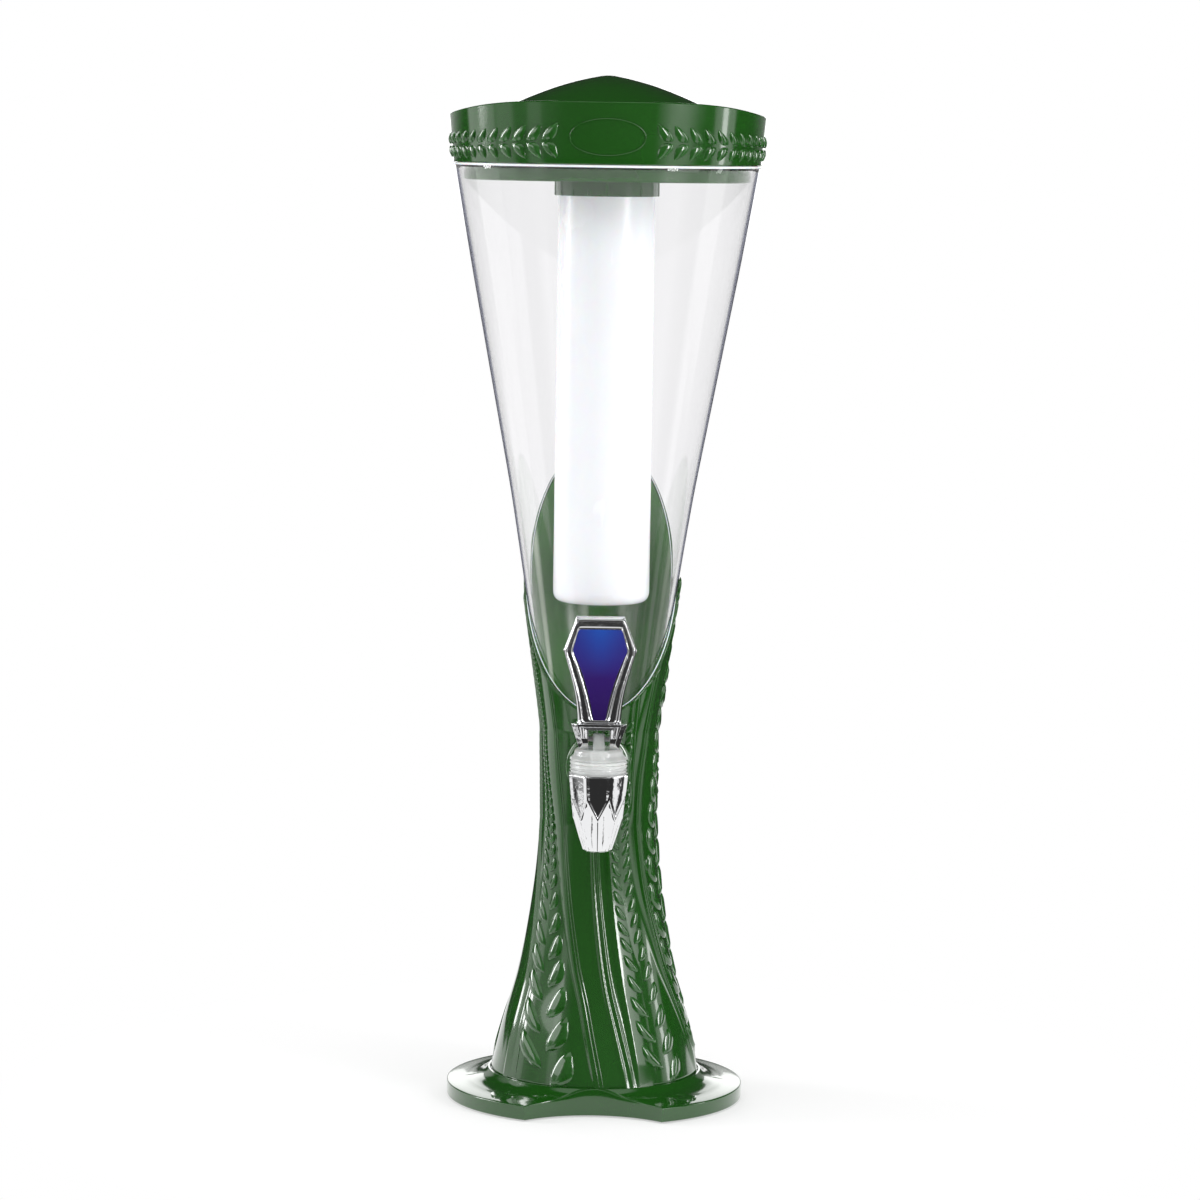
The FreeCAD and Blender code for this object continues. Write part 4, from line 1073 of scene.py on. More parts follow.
    def build_beads(self) -> None:
        """Thin round beads along the lines, partly sunk in the skin, that run from the foot to
        the mouth, spread and thicken towards the foot and taper at both ends."""
        made = Patchwork("column_beads")
        for line, turn in ((line, turn) for line in self.lines for turn in self.half_turns):
            for offset, gauge in line.beads:
                height = np.linspace(self.foot + 1.2, self.mouth_back - 4.5, 230)
                angle = np.radians(smooth_through(height, line.path) + turn)
                angle = angle + offset * spreading(height) / self.core_radius(height)
                keep = height < self.mouth(angle) - 1.0
                height, angle = height[keep], angle[keep]
                count = np.arange(len(height))
                taper = np.minimum(1, (np.minimum(count, count[::-1]) + 0.3) / 5)
                radius = gauge * spreading(height) * taper
                path = self.on_skin(angle, height, -0.25 * radius)
                made.add(strand(path, radius, self.outward(angle, height)))
        made.build(Body.TOWER, Slot.GREEN, GREEN)

    def leaves(self, band: LeafBand, turn: float) -> np.ndarray:
        """Plump leaves of one band. Each is a closed lens along its own line: its half width is
        the power 0.75 of 4 u (1 - u), its back rises as the sine round its section, and it bows
        and leans away from the spine. The left row stands half a pitch higher.

        Args:
            band: The band.
            turn: Turn of the whole band in degrees.

        Returns:
            Leaves by rows by columns by 3 points, in millimetres.
        """
        level = band.levels()
        side = np.repeat([1.0, -1.0], len(level))[:, None, None]
        level = np.concatenate([level, level + 0.5 * smooth_through(level, band.pitch)])
        spine = np.radians(smooth_through(level, band.spine) + turn)
        length = smooth_through(level, band.length)
        keep = level + length < self.mouth(spine) - 2.5
        side, level, spine = side[keep], level[keep], spine[keep]
        length = length[keep, None, None]
        u = np.linspace(0, 1, 9)[None, :, None]
        ring = np.linspace(0, 2 * np.pi, 8, endpoint=False)[None, None, :]
        body = (4 * u * (1 - u)) ** 0.75
        across = 0.235 * length * body * np.cos(ring)
        raised, sunk = 0.65 + 0.05 * length, 0.5
        arch = lens_arch(ring)
        lift = np.where(arch > 0, raised, sunk) * arch * np.minimum(1, 1.3 * body)
        lean = np.radians(smooth_through(level, band.lean))[:, None, None] * side
        bow = side * (0.105 * length + 0.09 * length * np.sin(np.pi * u)) + across
        reach = u * length * 1.08
        x = bow * np.cos(lean) + reach * np.sin(lean)
        z = level[:, None, None] + reach * np.cos(lean) - bow * np.sin(lean)
        here = smooth_through(z, band.spine) - smooth_through(level, band.spine)[:, None, None]
        angle = spine[:, None, None] + np.radians(here) + x / self.core_radius(z)
        return self.on_skin(angle, z, lift)[:, :, ::-1]

    def build_leaves(self) -> None:
        """Two bands with their twins half a turn on, and the lone one at the right."""
        made = Patchwork("column_leaves")
        for band in self.bands:
            for turn in self.half_turns:
                made.add(self.leaves(band, turn), poles=(True, True))
        made.add(self.leaves(self.lone_band, 0.0), poles=(True, True))
        made.build(Body.TOWER, Slot.GREEN, GREEN, sharp=70.0)

    def build_pad(self) -> None:
        """Round pad that the tap's collar bears on: a short turned disc with an eased edge."""
        profile = rounded([(0.0, 39.0, 0.0), (17.2, 39.0, 0.4), (18.2, 38.5, 0.4),
                           (19.5, 37.6, 0.9), (19.5, 28.0, 0.0), (0.0, 28.0, 0.0)])
        lift = Matrix.Translation((0, 0, self.shank_height * MM))
        to_front = lift @ Matrix.Rotation(math.pi / 2, 4, "X")
        made = lathe("tap_pad", profile[::-1], 96)
        made.build(Body.TOWER, Slot.GREEN, GREEN, turn=to_front)

    def build(self) -> None:
        """Builds every piece of the column."""
        self.build_skin()
        self.build_painted_light_pieces()
        self.build_beads()
        self.build_leaves()
        self.build_pad()


@dataclass
class Base:
    """Round base with a scoop at front and back, an arched crown and a hollow underside."""

    radius: float = 89.0
    rim_lift: float = 1.0
    rim_top: float = 9.6
    crown_top: float = 17.0
    sweep: Table = ((0.0, 0.2, 0.5, 0.75, 0.9, 1.0), (0.0, 0.05, 0.15, 0.34, 0.63, 1.0))
    notch_half: float = 40.5
    notch_depth: float = 64.2
    recess: float = 62.6
    seat: float = 16.0
    ceiling: float = 13.0
    wall: float = 2.6
    ease: float = 0.7
    foot_circle: float = 74.0
    boss_radius: float = 8.7

    def outline(self, angle: np.ndarray) -> np.ndarray:
        """Radius of the base at an angle: the disc, or where the scoop's circle is nearer.

        Args:
            angle: Angles from the front.

        Returns:
            The radius at each angle.
        """
        corner = math.sqrt(self.radius ** 2 - self.notch_half ** 2)
        depth = corner - self.notch_depth
        scoop = (self.notch_half ** 2 + depth ** 2) / (2 * depth)
        centre = self.notch_depth + scoop
        cosine = np.abs(np.cos(angle))
        inside = centre ** 2 * cosine ** 2 - centre ** 2 + scoop ** 2
        reach = centre * cosine - np.sqrt(np.maximum(inside, 0))
        return np.where(inside > 0, np.minimum(self.radius, reach), self.radius)

    def crown(self, radius: np.ndarray) -> np.ndarray:
        """Height of the top at a radius: nearly flat at the rim, then a steep sweep to the foot."""
        share = np.clip((self.radius - radius) / (self.radius - self.notch_depth), 0, 1)
        return self.rim_top + (self.crown_top - self.rim_top) * smooth_through(share, self.sweep)

    def angles(self) -> np.ndarray:
        """Angles of the columns, with one exactly at each corner of the scoops.

        Returns:
            The angles, as one row.
        """
        corner = math.asin(self.notch_half / self.radius)
        marks = [-corner, corner, math.pi - corner, math.pi + corner, 2 * math.pi - corner]
        counts = [72, 132, 72, 132]
        parts = [np.linspace(marks[i], marks[i + 1], counts[i], endpoint=False) for i in range(4)]
        return np.concatenate(parts)[None]

    def build(self) -> None:
        """Closed surface from the underside over the edge and the crown to the recess."""
        angle = self.angles()
        outline = self.outline(angle)
        ease, top = self.ease, self.crown(outline)
        inside, wall_low = outline - self.wall, self.rim_lift + 0.9
        under = inside + (self.recess - 6 - inside) * np.linspace(1, 0, 8)[:, None]
        under_z = np.minimum(self.crown(under) - self.wall, self.ceiling)
        foot = outline - np.array([[0.6], [0.15], [0.0]])
        wall_z = wall_low + (top - ease - wall_low) * np.linspace(0, 1, 5)[:-1, None]
        bend = np.linspace(0, np.pi / 2, 6)[:, None]
        share = np.linspace(0, 1, 34)[1:, None] ** 0.7
        over = outline - ease + (self.recess + 0.5 - outline + ease) * share
        grid = rows_round(
            angle, (0.0, self.ceiling), (under, under_z), (inside, self.rim_lift),
            (foot, self.rim_lift + np.array([[0.0], [0.2], [0.7]])), (outline, wall_z),
            (outline - ease + ease * np.cos(bend), top - ease + ease * np.sin(bend)),
            (over, self.crown(over)), (self.recess, self.crown_top - 0.5),
            (self.recess, self.seat), (0.0, self.seat))
        made = Patchwork("base_shell").add(grid, poles=(True, True))
        self.add_ribs(made)
        piece = made.build(Body.TOWER, Slot.GREEN, GREEN, sharp=32.0)
        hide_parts("base_plate")

    def add_ribs(self, made: Patchwork) -> None:
        """Adds the eight thin ribs and the four foot bosses under the crown.

        Args:
            made: Patchwork that takes them.
        """
        turns = np.arange(8) * np.pi / 4
        outer = self.outline(turns) - self.wall / 2
        reach = np.stack([np.full(8, self.recess - 2.6), outer], -1)
        section = np.array([[-0.9, 3.0], [0.9, 3.0], [0.9, 0.0], [-0.9, 0.0]])
        roof = np.minimum(self.crown(reach) - 1.0, 14.0)
        level = np.where(section[None, None, :, 1] > 0, 3.0, roof[:, :, None])
        grid = turned(reach[:, :, None], turns[:, None, None], level)
        sideways = np.stack([np.cos(turns), np.sin(turns), 0 * turns], -1)[:, None, None]
        grid = grid + sideways * section[None, None, :, :1]
        ends = np.stack([grid.mean(2, keepdims=True)] * 4, 2).reshape(8, 2, 4, 3)
        made.add(np.concatenate([ends[:, :1], grid, ends[:, 1:]], 1), poles=(True, True))
        spots = np.radians(np.array([45.0, 135.0, 225.0, 315.0]))
        ring = np.linspace(0, 2 * np.pi, 28, endpoint=False)
        size = self.boss_radius * np.array([0.0, 1.0, 1.0, 0.0])[None, :, None]
        height = np.array([3.0, 3.0, 11.0, 11.0])[None, :, None]
        x = self.foot_circle * np.sin(spots)[:, None, None] + size * np.cos(ring)
        y = -self.foot_circle * np.cos(spots)[:, None, None] + size * np.sin(ring)
        made.add(np.stack([x, y, height + 0 * x], -1), poles=(True, True))


# ------------------------------------------------------------------- the lid
@dataclass
class Lid:
    """Waved lid ring with its plug and socket, leaf sprays, ovals and dome."""

    bottom: float = 561.0
    radius: float = 91.8
    crest: float = 597.0
    flare: float = 3.5
    wave: float = 7.8
    wall: float = 2.6
    deck: float = 585.0
    under: float = 582.6
    plug: float = 85.2
    plug_depth: float = 34.0
    ease: float = 1.1
    socket: float = 29.4
    socket_wall: float = 1.6
    socket_bottom: float = 542.0
    dome_top: float = 612.8
    dome_radius: float = 74.0
    spray_height: float = 576.1
    spray_sink: float = 5.4
    pairs: int = 11
    leaf_length: float = 13.6
    oval: tuple[float, float, float] = (21.8, 10.5, 576.5)

    def wall_radius(self, height: np.ndarray) -> np.ndarray:
        """Outer radius of the skirt, which widens evenly upwards."""
        return self.radius + self.flare * (height - self.bottom) / (self.crest - self.bottom)

    def top(self, angle: np.ndarray) -> np.ndarray:
        """Height of the rim: full at front and back, and lower by the fourth power of the sine."""
        return self.crest - self.wave * np.sin(angle) ** 4

    def build_ring(self) -> None:
        """Closed profile at every angle: up the skirt, over the waved rim, down to the deck,
        through the socket, under the deck, round the plug and back down inside the skirt."""
        angle = np.linspace(0, 2 * np.pi, 240, endpoint=False)[None]
        ease, top = self.ease, self.top(angle)
        skirt_low = self.bottom + 0.8
        skirt_z = skirt_low + (top - ease - skirt_low) * np.linspace(0, 1, 12)[:, None]
        half, brink = self.wall / 2, self.wall_radius(top)
        roll = np.linspace(0, np.pi, 11)[1:-1, None]
        crown = np.minimum(1.0, np.abs(np.sin(roll)) ** 0.8)
        inside = brink - self.wall
        inside_z = top - ease + (self.deck + 1.0 - top + ease) * np.linspace(0, 1, 5)[:, None]
        cove_r, cove_z = np.array([[0.3], [1.0]]), np.array([[0.3], [0.0]])
        ribbed = self.socket + self.socket_wall + 0.55 * (np.cos(18 * angle) > 0.72)
        foot, skirt, plug = self.socket_bottom, self.radius - self.wall, self.plug
        low = self.deck - self.plug_depth
        grid = rows_round(
            angle, (self.radius - 0.35, self.bottom), (self.radius, self.bottom + 0.35),
            (self.wall_radius(skirt_z), skirt_z),
            (brink - half + half * np.cos(roll), top - ease + ease * crown), (inside, inside_z),
            (inside - cove_r, self.deck + cove_z), (self.socket, self.deck - 0.3),
            (self.socket, foot + 0.3), (self.socket + 0.4, foot), (ribbed - 0.4, foot),
            (ribbed, foot + 0.4), (ribbed, self.under), (plug - 2.0, self.under),
            (plug - 2.0, low + 0.4), (plug - 1.6, low), (plug - 0.5, low), (plug, low + 0.5),
            (plug, self.under), (skirt, self.under), (skirt, self.bottom))
        made = Patchwork("lid_ring").add(grid, wrap_rows=True)
        piece = made.build(Body.LID, Slot.GREEN, GREEN, sharp=35.0)
        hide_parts("lid")

    def on_wall(self, angle: np.ndarray, height: np.ndarray, lift: np.ndarray) -> np.ndarray:
        """Points on the skirt's outer face, or above it by a lift."""
        return turned(self.wall_radius(height) + lift, angle, height)

    def build_sprays(self) -> None:
        """Sprays of leaf pairs from each oval to the sides. A pair opens towards the oval, and
        the leaves shrink and sink with distance. Each leaf is a closed lens along its own line:
        its half width is a power of the sine of its length."""
        first, step, last = 39.0, 9.9, 138.0
        arc = first + step * np.arange(self.pairs)
        length = self.leaf_length * np.interp(arc, (first, last), (1.0, 0.7))
        halves = np.array([-1.0, 1.0])
        mesh = np.meshgrid(np.arange(self.pairs), halves, halves, (0.0, np.pi), indexing="ij")
        index, up, side, turn_by = (part.ravel()[:, None, None] for part in mesh)
        start, size = arc[index.astype(int)], length[index.astype(int)]
        u = np.linspace(0, 1, 8)[None, :, None]
        ring = np.linspace(0, 2 * np.pi, 8, endpoint=False)[None, None, :]
        body = np.sin(np.pi * u ** 0.85) ** 0.8
        arch, raised, sunk = lens_arch(ring), 1.6, 0.5
        lift = np.where(arch > 0, raised, sunk) * arch * body ** 0.7
        lean, reach = np.radians(43.0), u * size
        across = 0.25 * size * body * np.cos(ring) - 0.09 * size * np.sin(np.pi * u)
        along = start - (reach * np.cos(lean) - across * np.sin(lean))
        rise = 0.9 + reach * np.sin(lean) + across * np.cos(lean)
        sink = self.spray_sink * np.abs(np.sin(along / self.radius))
        height = self.spray_height - sink + up * rise
        angle = side * along / self.wall_radius(height) + turn_by
        grid = self.on_wall(angle, height, lift)
        grid = np.where((up * side > 0)[..., None], grid[:, :, ::-1], grid)
        made = Patchwork("lid_leaves").add(grid, poles=(True, True))
        made.build(Body.LID, Slot.GREEN, GREEN, sharp=60.0)

    def build_ovals(self) -> None:
        """Thin raised line round each bare oval, front and back: an ellipse wrapped on the
        skirt and swept by a small circle."""
        made = Patchwork("lid_ovals")
        turn = np.linspace(0, 2 * np.pi, 120, endpoint=False)
        half_width, half_height, middle = self.oval
        for place in (0.0, np.pi):
            height = middle + half_height * np.sin(turn)
            angle = place + half_width * np.cos(turn) / self.wall_radius(height)
            path = self.on_wall(angle, height, 0.1)
            ring = strand(path, np.full(len(path), 0.46), outwards(angle), closed=True)
            made.add(ring, wrap_rows=True)
        made.build(Body.LID, Slot.GREEN, GREEN)

    def build_dome(self) -> None:
        """Soft cone with a small rounded tip, and its plug down into the socket."""
        share = np.linspace(0, 1, 60)
        drop = smooth_through(share, ((0.0, 0.03, 0.1, 0.243, 0.335, 0.519, 0.674, 0.82, 1.0),
                                      (0.0, 0.004, 0.035, 0.124, 0.195, 0.375, 0.555, 0.75, 1.01)))
        fall, deck, plug, skin = self.dome_top - self.deck - 2.0, self.deck, self.socket - 0.2, 2.2
        outer = np.stack([self.dome_radius * share, self.dome_top - fall * drop], -1)
        edge = rounded([(self.dome_radius, deck + 1.6, 0.6), (self.dome_radius, deck, 0.4),
                        (plug, deck, 0.0), (plug, deck - 4.5, 0.3), (plug - 1.8, deck - 4.5, 0.3)])
        inner = outer[outer[:, 0] < self.socket - skin] - np.array([0.0, skin])
        profile = np.concatenate([inner, edge[::-1], outer[::-1][1:]])
        made = lathe("lid_dome_skin", profile, 180)
        piece = made.build(Body.LID, Slot.GREEN, GREEN, sharp=35.0)
        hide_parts("lid_dome")

    def build(self) -> None:
        """Builds every piece of the lid."""
        self.build_ring()
        self.build_sprays()
        self.build_ovals()
        self.build_dome()


@dataclass
class IceTube:
    """Milky tube for ice with a round bottom edge and three bayonet lugs."""

    radius: float = 28.8
    wall: float = 2.0
    bottom: float = 300.2
    top: float = 578.0

    def build(self) -> None:
        """Closed profile over both walls, with the lugs as raised blocks near the mouth."""
        low, high, radius, wall = self.bottom, self.top, self.radius, self.wall
        profile = rounded([
            (0.0, low, 0.0), (radius, low, 7.0), (radius, high, 0.5), (radius - wall, high, 0.5),
            (radius - wall, low + wall, 5.0), (0.0, low + wall, 0.0)], steps=9)
        made = lathe("ice_tube_shell", refined(profile, 12.0))
        centre = np.radians(np.array([90.0, 210.0, 330.0]))[:, None, None]
        reach, level, full = np.array(
            [(0.0, 569.6, 0.0), (0.0, 569.6, 1.0), (1.7, 569.6, 1.0), (1.7, 573.0, 1.0),
             (0.0, 573.0, 1.0), (0.0, 573.0, 0.0)]).T[:, None, :, None]
        angle = centre + np.radians(6.5) * np.linspace(-1, 1, 9) * full
        made.add(turned(radius - 0.3 + reach, angle, level), wrap_rows=True, wrap_cols=False)
        piece = made.build(Body.TUBE, Slot.FROSTED, FROSTED, sharp=35.0)
        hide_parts("ice_tube")


# ------------------------------------------------------------------- the tap
@dataclass
class Tap:
    """Chrome spout with its gem-cut cup, cloudy bonnet, return spring, and the handle."""

    reach: float = 62.0
    seat: float = 205.5
    roof: float = 220.2
    under_roof: float = 212.2
    cup: tuple[float, float] = (159.5, 205.5)
    merged: float = 0.002
    flat: float = 0.4
    sharp: float = 20.0

    def facet_copy(self, node: str, name: str, body: Body, finish: Finish,
                   width: float) -> None:
        """Copy of a cut shape with its flat faces made whole and its edges softened.

        Args:
            node: Node whose shape is copied and stood for.
            name: Name of the piece.
            body: Body that it rides on.
            finish: Its finish.
            width: Width of the softened edges, in millimetres.
        """
        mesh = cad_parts[node].data.copy()
        mesh.name = name
        shape = bmesh.new()
        shape.from_mesh(mesh)
        bmesh.ops.remove_doubles(shape, verts=shape.verts, dist=self.merged * MM)
        bmesh.ops.dissolve_degenerate(shape, edges=shape.edges, dist=self.merged * MM)
        bmesh.ops.dissolve_limit(shape, angle_limit=math.radians(self.flat), verts=shape.verts,
                                 edges=shape.edges)
        shape.to_mesh(mesh)
        shape.free()
        if mesh.has_custom_normals:
            with bpy.context.temp_override(object=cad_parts[node]):
                mesh.attributes.remove(mesh.attributes["custom_normal"])
        mesh.shade_smooth()
        mesh.set_sharp_from_angle(angle=math.radians(self.sharp))
        piece = finish_piece(bpy.data.objects.new(name, mesh), body, finish)
        soft = piece.modifiers.new("soft_edges", "BEVEL")
        soft.width, soft.segments, soft.limit_method = width * MM, 2, "ANGLE"
        soft.angle_limit, soft.harden_normals = math.radians(self.sharp), True
        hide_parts(node)

    def build_bonnet(self) -> None:
        """Turned cap with a plain upper tier and fine rings round the lower one: a cosine along
        the height."""
        seat, roof, under = self.seat, self.roof, self.under_roof
        heights = np.linspace(seat, seat + 8.7, 120)
        rings = 0.4 * np.cos(2 * np.pi * (heights - seat) / 2.18)
        side = np.stack([16.65 + rings, heights], -1)
        shoulder = rounded([
            (16.9, 214.6, 0.3), (14.6, 216.6, 0.5), (14.2, 219.0, 0.6), (12.9, roof, 0.5),
            (3.6, roof, 0.2), (3.6, under, 0.0), (13.6, under, 0.0), (13.6, seat, 0.0)])
        made = lathe("bonnet_shell", np.concatenate([side, shoulder]), 128, loop=True)
        place = Matrix.Translation((0, -self.reach * MM, 0))
        piece = made.build(Body.TOWER, Slot.BONNET, BONNET, sharp=50.0, turn=place)
        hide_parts("tap_bonnet")

    def build_spring(self) -> None:
        """Return spring: a helix that shortens towards the bonnet's roof."""
        turns, radius, gauge = 5, 5.75, 0.45
        turn = np.linspace(0, 2 * np.pi * turns, 40 * turns)
        height = np.interp(turn, (0, turn[-1]), (192.75, 211.6))
        path = turned(np.full_like(turn, radius), turn, height) - np.array([0, self.reach, 0])
        coil = strand(path, np.full(len(path), gauge), outwards(turn))
        piece = Patchwork("spring_coil").add(coil).build(Body.TOWER, Slot.SPRING, STEEL)
        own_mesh(piece)
        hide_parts("stem_spring")

    @staticmethod
    def shield_line(top: float, wide: float, waist: float, foot: float,
                    levels: tuple[float, ...], count: int = 110) -> np.ndarray:
        """Closed outline of a shield: flat head, straight shoulders, then sides that curve in to
        the foot as a smooth curve through the waist.

        Args:
            top: Half width of the head.
            wide: Half width at the shoulders.
            waist: Half width at the waist.
            foot: Half width of the foot.
            levels: Heights of the head, the shoulders, the waist and the foot.
            count: About how many points each half has.

        Returns:
            Rows of x and z, with equal counts on each half.
        """
        head_z, wide_z, waist_z, foot_z = levels
        t = np.linspace(0, 1, count // 2)
        side_z = wide_z + (foot_z - wide_z) * t
        side_x = smooth_through(-side_z, ((-wide_z, -waist_z, -foot_z), (wide, waist, foot)))
        part = np.linspace(0, 1, count // 6, endpoint=False)
        right = np.concatenate([
            np.stack([top * part, head_z + 0 * part], -1),
            np.stack([top + (wide - top) * part, head_z + (wide_z - head_z) * part], -1),
            np.stack([side_x, side_z], -1),
            np.stack([foot * (1 - part[1:]), foot_z + 0 * part[1:]], -1)])
        left = right[::-1][:-1] * np.array([-1, 1])
        line = np.concatenate([right, [[0.0, foot_z]], left])
        for _ in range(5):
            line = (np.roll(line, 1, 0) + 2 * line + np.roll(line, -1, 0)) / 4
        return line

    def banded(self, inner: np.ndarray, outer: np.ndarray, section: np.ndarray,
               face: np.ndarray) -> np.ndarray:
        """Moulding between two lines: each point of the section lies at its share of the way from
        the inner line to the outer one, and so many millimetres in front of the face.

        Args:
            inner: Rows of x and z.
            outer: As many rows of x and z.
            section: Rows of share and height, round the moulding.
            face: How far the face lies in front of the spout's axis, at each row.

        Returns:
            Line by section by 3 points.
        """
        share = section[None, :, :1]
        flat = inner[:, None] * (1 - share) + outer[:, None] * share
        depth = -face[:, None] - section[None, :, 1] - self.reach
        return np.stack([flat[..., 0], depth, flat[..., 1]], -1)

    def build_frame(self) -> None:
        """Moulded chrome frame: round the plate a slim inner bead, a groove and a broad rounded
        band, as rows between the plate's outline and the blade's, and a band round the fork."""
        inner = self.shield_line(12.6, 15.9, 8.3, 3.5, (290.65, 278.35, 255.8, 237.5))
        outer = self.shield_line(14.1, 21.3, 14.0, 12.4, (297.65, 278.35, 250.2, 235.6))
        section = np.array([
            [0.0, -0.4], [0.03, 0.3], [0.08, 0.62], [0.15, 0.7], [0.21, 0.5], [0.25, 0.05],
            [0.33, -0.12], [0.45, 0.0], [0.55, -0.02], [0.62, -0.1], [0.66, 0.45], [0.72, 0.9],
            [0.8, 1.0], [0.88, 0.7], [0.95, -0.1], [1.0, -1.2], [1.0, -2.3], [0.97, -2.9],
            [0.5, -1.2], [0.06, -1.1]])
        face = np.full(len(inner), 6.0)
        made = Patchwork("handle_frame")
        made.add(self.banded(inner, outer, section, face), wrap_rows=True)
        self.add_fork_band(made)
        made.build(Body.HANDLE, Slot.CHROME, CHROME, sharp=50.0)

    def add_fork_band(self, made: Patchwork) -> None:
        """Adds the moulding round the fork's window, up one leg, over and down the other. It
        starts above the cam, so that it clears the bonnet.

        Args:
            made: Patchwork that takes it.
        """
        across = np.linspace(-1, 1, 40)
        low, high, head = 227.0, 232.3, 235.5
        height = np.linspace(low, high, 18)
        flare = smooth_through(height, ((220.0, 226.0, 230.0, 234.0), (11.3, 12.3, 13.6, 15.7)))
        rise = np.interp(height, (low, high), (low, head))
        inner = np.concatenate([np.stack([0 * height - 6.4, height], -1),
                                np.stack([6.4 * across, 0 * across + 232.4], -1),
                                np.stack([0 * height + 6.4, height[::-1]], -1)])
        outer = np.concatenate([np.stack([-flare, rise], -1),
                                np.stack([16.2 * across, 0 * across + 235.6], -1),
                                np.stack([flare[::-1], rise[::-1]], -1)])
        section = np.array([
            [0.0, -0.6], [0.02, 0.4], [0.07, 0.8], [0.14, 0.75], [0.2, 0.2], [0.27, 0.0],
            [0.33, 0.25], [0.42, 0.75], [0.52, 0.8], [0.6, 0.3], [0.66, -0.35], [0.76, -1.0],
            [0.83, -1.5], [0.88, -1.35], [0.95, -1.6], [1.01, -2.4], [1.02, -3.2], [0.9, -3.4],
            [0.5, -1.2], [0.08, -1.2]])
        foot, foot_depth, widening, tall = 220.35, 11.2, 1.4, 15.4
        face = foot_depth + widening * (outer[:, 1] - foot) / tall
        made.add(self.banded(inner, outer, section, face)[:, ::-1], poles=(True, True))

    def build_cup(self) -> None:
        """Gem-cut skin of the cup. Its radius is the smaller of two eight-sided prisms, the upper
        upright and the lower turned by half a side, with dished sides, a bead on each upright
        ridge and a bead along the arches where the two meet."""
        low, high = self.cup
        height = np.linspace(low + 0.05, high - 0.15, 92)[:, None]
        angle = np.radians(np.linspace(0, 360, 192, endpoint=False))[None]
        share = (height - low) / (high - low)
        side = np.radians(45.0)
        near = np.mod(angle + side / 2, side) - side / 2
        far = np.mod(angle, side) - side / 2
        dish = 0.35 * (1 - (2 * near / side) ** 2)
        narrow, wide = 12.2, 16.3
        upper = (narrow + (wide - narrow) * share) / np.cos(near)
        tiers = ((0.0, 0.185, 0.38, 0.685, 1.0), (0.44, 0.6, 0.75, 0.99, 1.19))
        lower = wide * np.interp(share, *tiers) / np.cos(far)
        plain = np.minimum(upper, lower)
        ahead = 1 / (1 + np.exp((upper - lower) / 0.12))
        ridge = 0.65 * np.exp(-(far * plain / 1.15) ** 2) * ahead
        foot = (0.1 + 0.1 * np.cos(2 * np.pi * near * plain / 4.4)) * (1 - ahead)
        arch = 0.5 * np.exp(-((upper - lower) / 0.35) ** 2)
        radius = plain + 0.45 - dish * ahead + np.maximum(np.maximum(ridge, foot), arch)
        ease = np.interp(share, (0.0, 0.012, 0.985, 1.0), (0.6, 0.0, 0.0, 0.7))
        outside = turned(radius - ease, angle, height)
        inside = turned(plain - 1.2, angle, height)[::-1]
        grid = np.concatenate([outside, inside]) - np.array([0, self.reach, 0])
        made = Patchwork("tap_cup_skin").add(grid, wrap_rows=True)
        made.build(Body.TOWER, Slot.CHROME, CHROME, sharp=50.0)

    def build(self) -> None:
        """Builds every piece of the tap."""
        self.facet_copy("tap_body", "tap_casting", Body.TOWER, CHROME, 0.9)
        self.facet_copy("tap_handle", "handle_casting", Body.HANDLE, CHROME, 0.7)
        self.facet_copy("handle_badge", "handle_plate", Body.HANDLE, BADGE, 0.25)
        self.build_bonnet()
        self.build_spring()
        self.build_frame()
        self.build_cup()


# ---------------------------------------------------------------- the studio
MIDDLE = 0.3
WHITE = (1.0, 1.0, 1.0, 1.0)


@dataclass(frozen=True)
class SoftLamp:
    """Soft lamp on a sphere round the tower's middle.

    Attributes:
        name: Its name.
        azimuth: Its direction from the front towards +X, in degrees.
        elevation: Its height over the horizon, in degrees.
        distance: Its distance, in metres.
        size: Its width and height, in metres.
        glow: Brightness of its face.
        shows: Gloss and metal show it.
    """

    name: str
    azimuth: float
    elevation: float
    distance: float
    size: tuple[float, float]
    glow: float
    shows: bool = True

    def place(self) -> None:
        """Builds the lamp so that it faces the tower's middle."""
        data = bpy.data.lights.new(self.name, "AREA")
        data.shape, data.size, data.size_y = "RECTANGLE", *self.size
        data.energy = self.glow * math.pi * self.size[0] * self.size[1]
        lamp = bpy.data.objects.new(self.name, data)
        bpy.context.scene.collection.objects.link(lamp)
        turn, rise = math.radians(self.azimuth), math.radians(self.elevation)
        flat = math.cos(rise)
        away = Vector((math.sin(turn) * flat, -math.cos(turn) * flat, math.sin(rise)))
        lamp.location = Vector((0, 0, MIDDLE)) + away * self.distance
        lamp.rotation_euler = away.to_track_quat("Z", "Y").to_euler()
        lamp.visible_camera = lamp.visible_transmission = False
        lamp.visible_glossy = self.shows


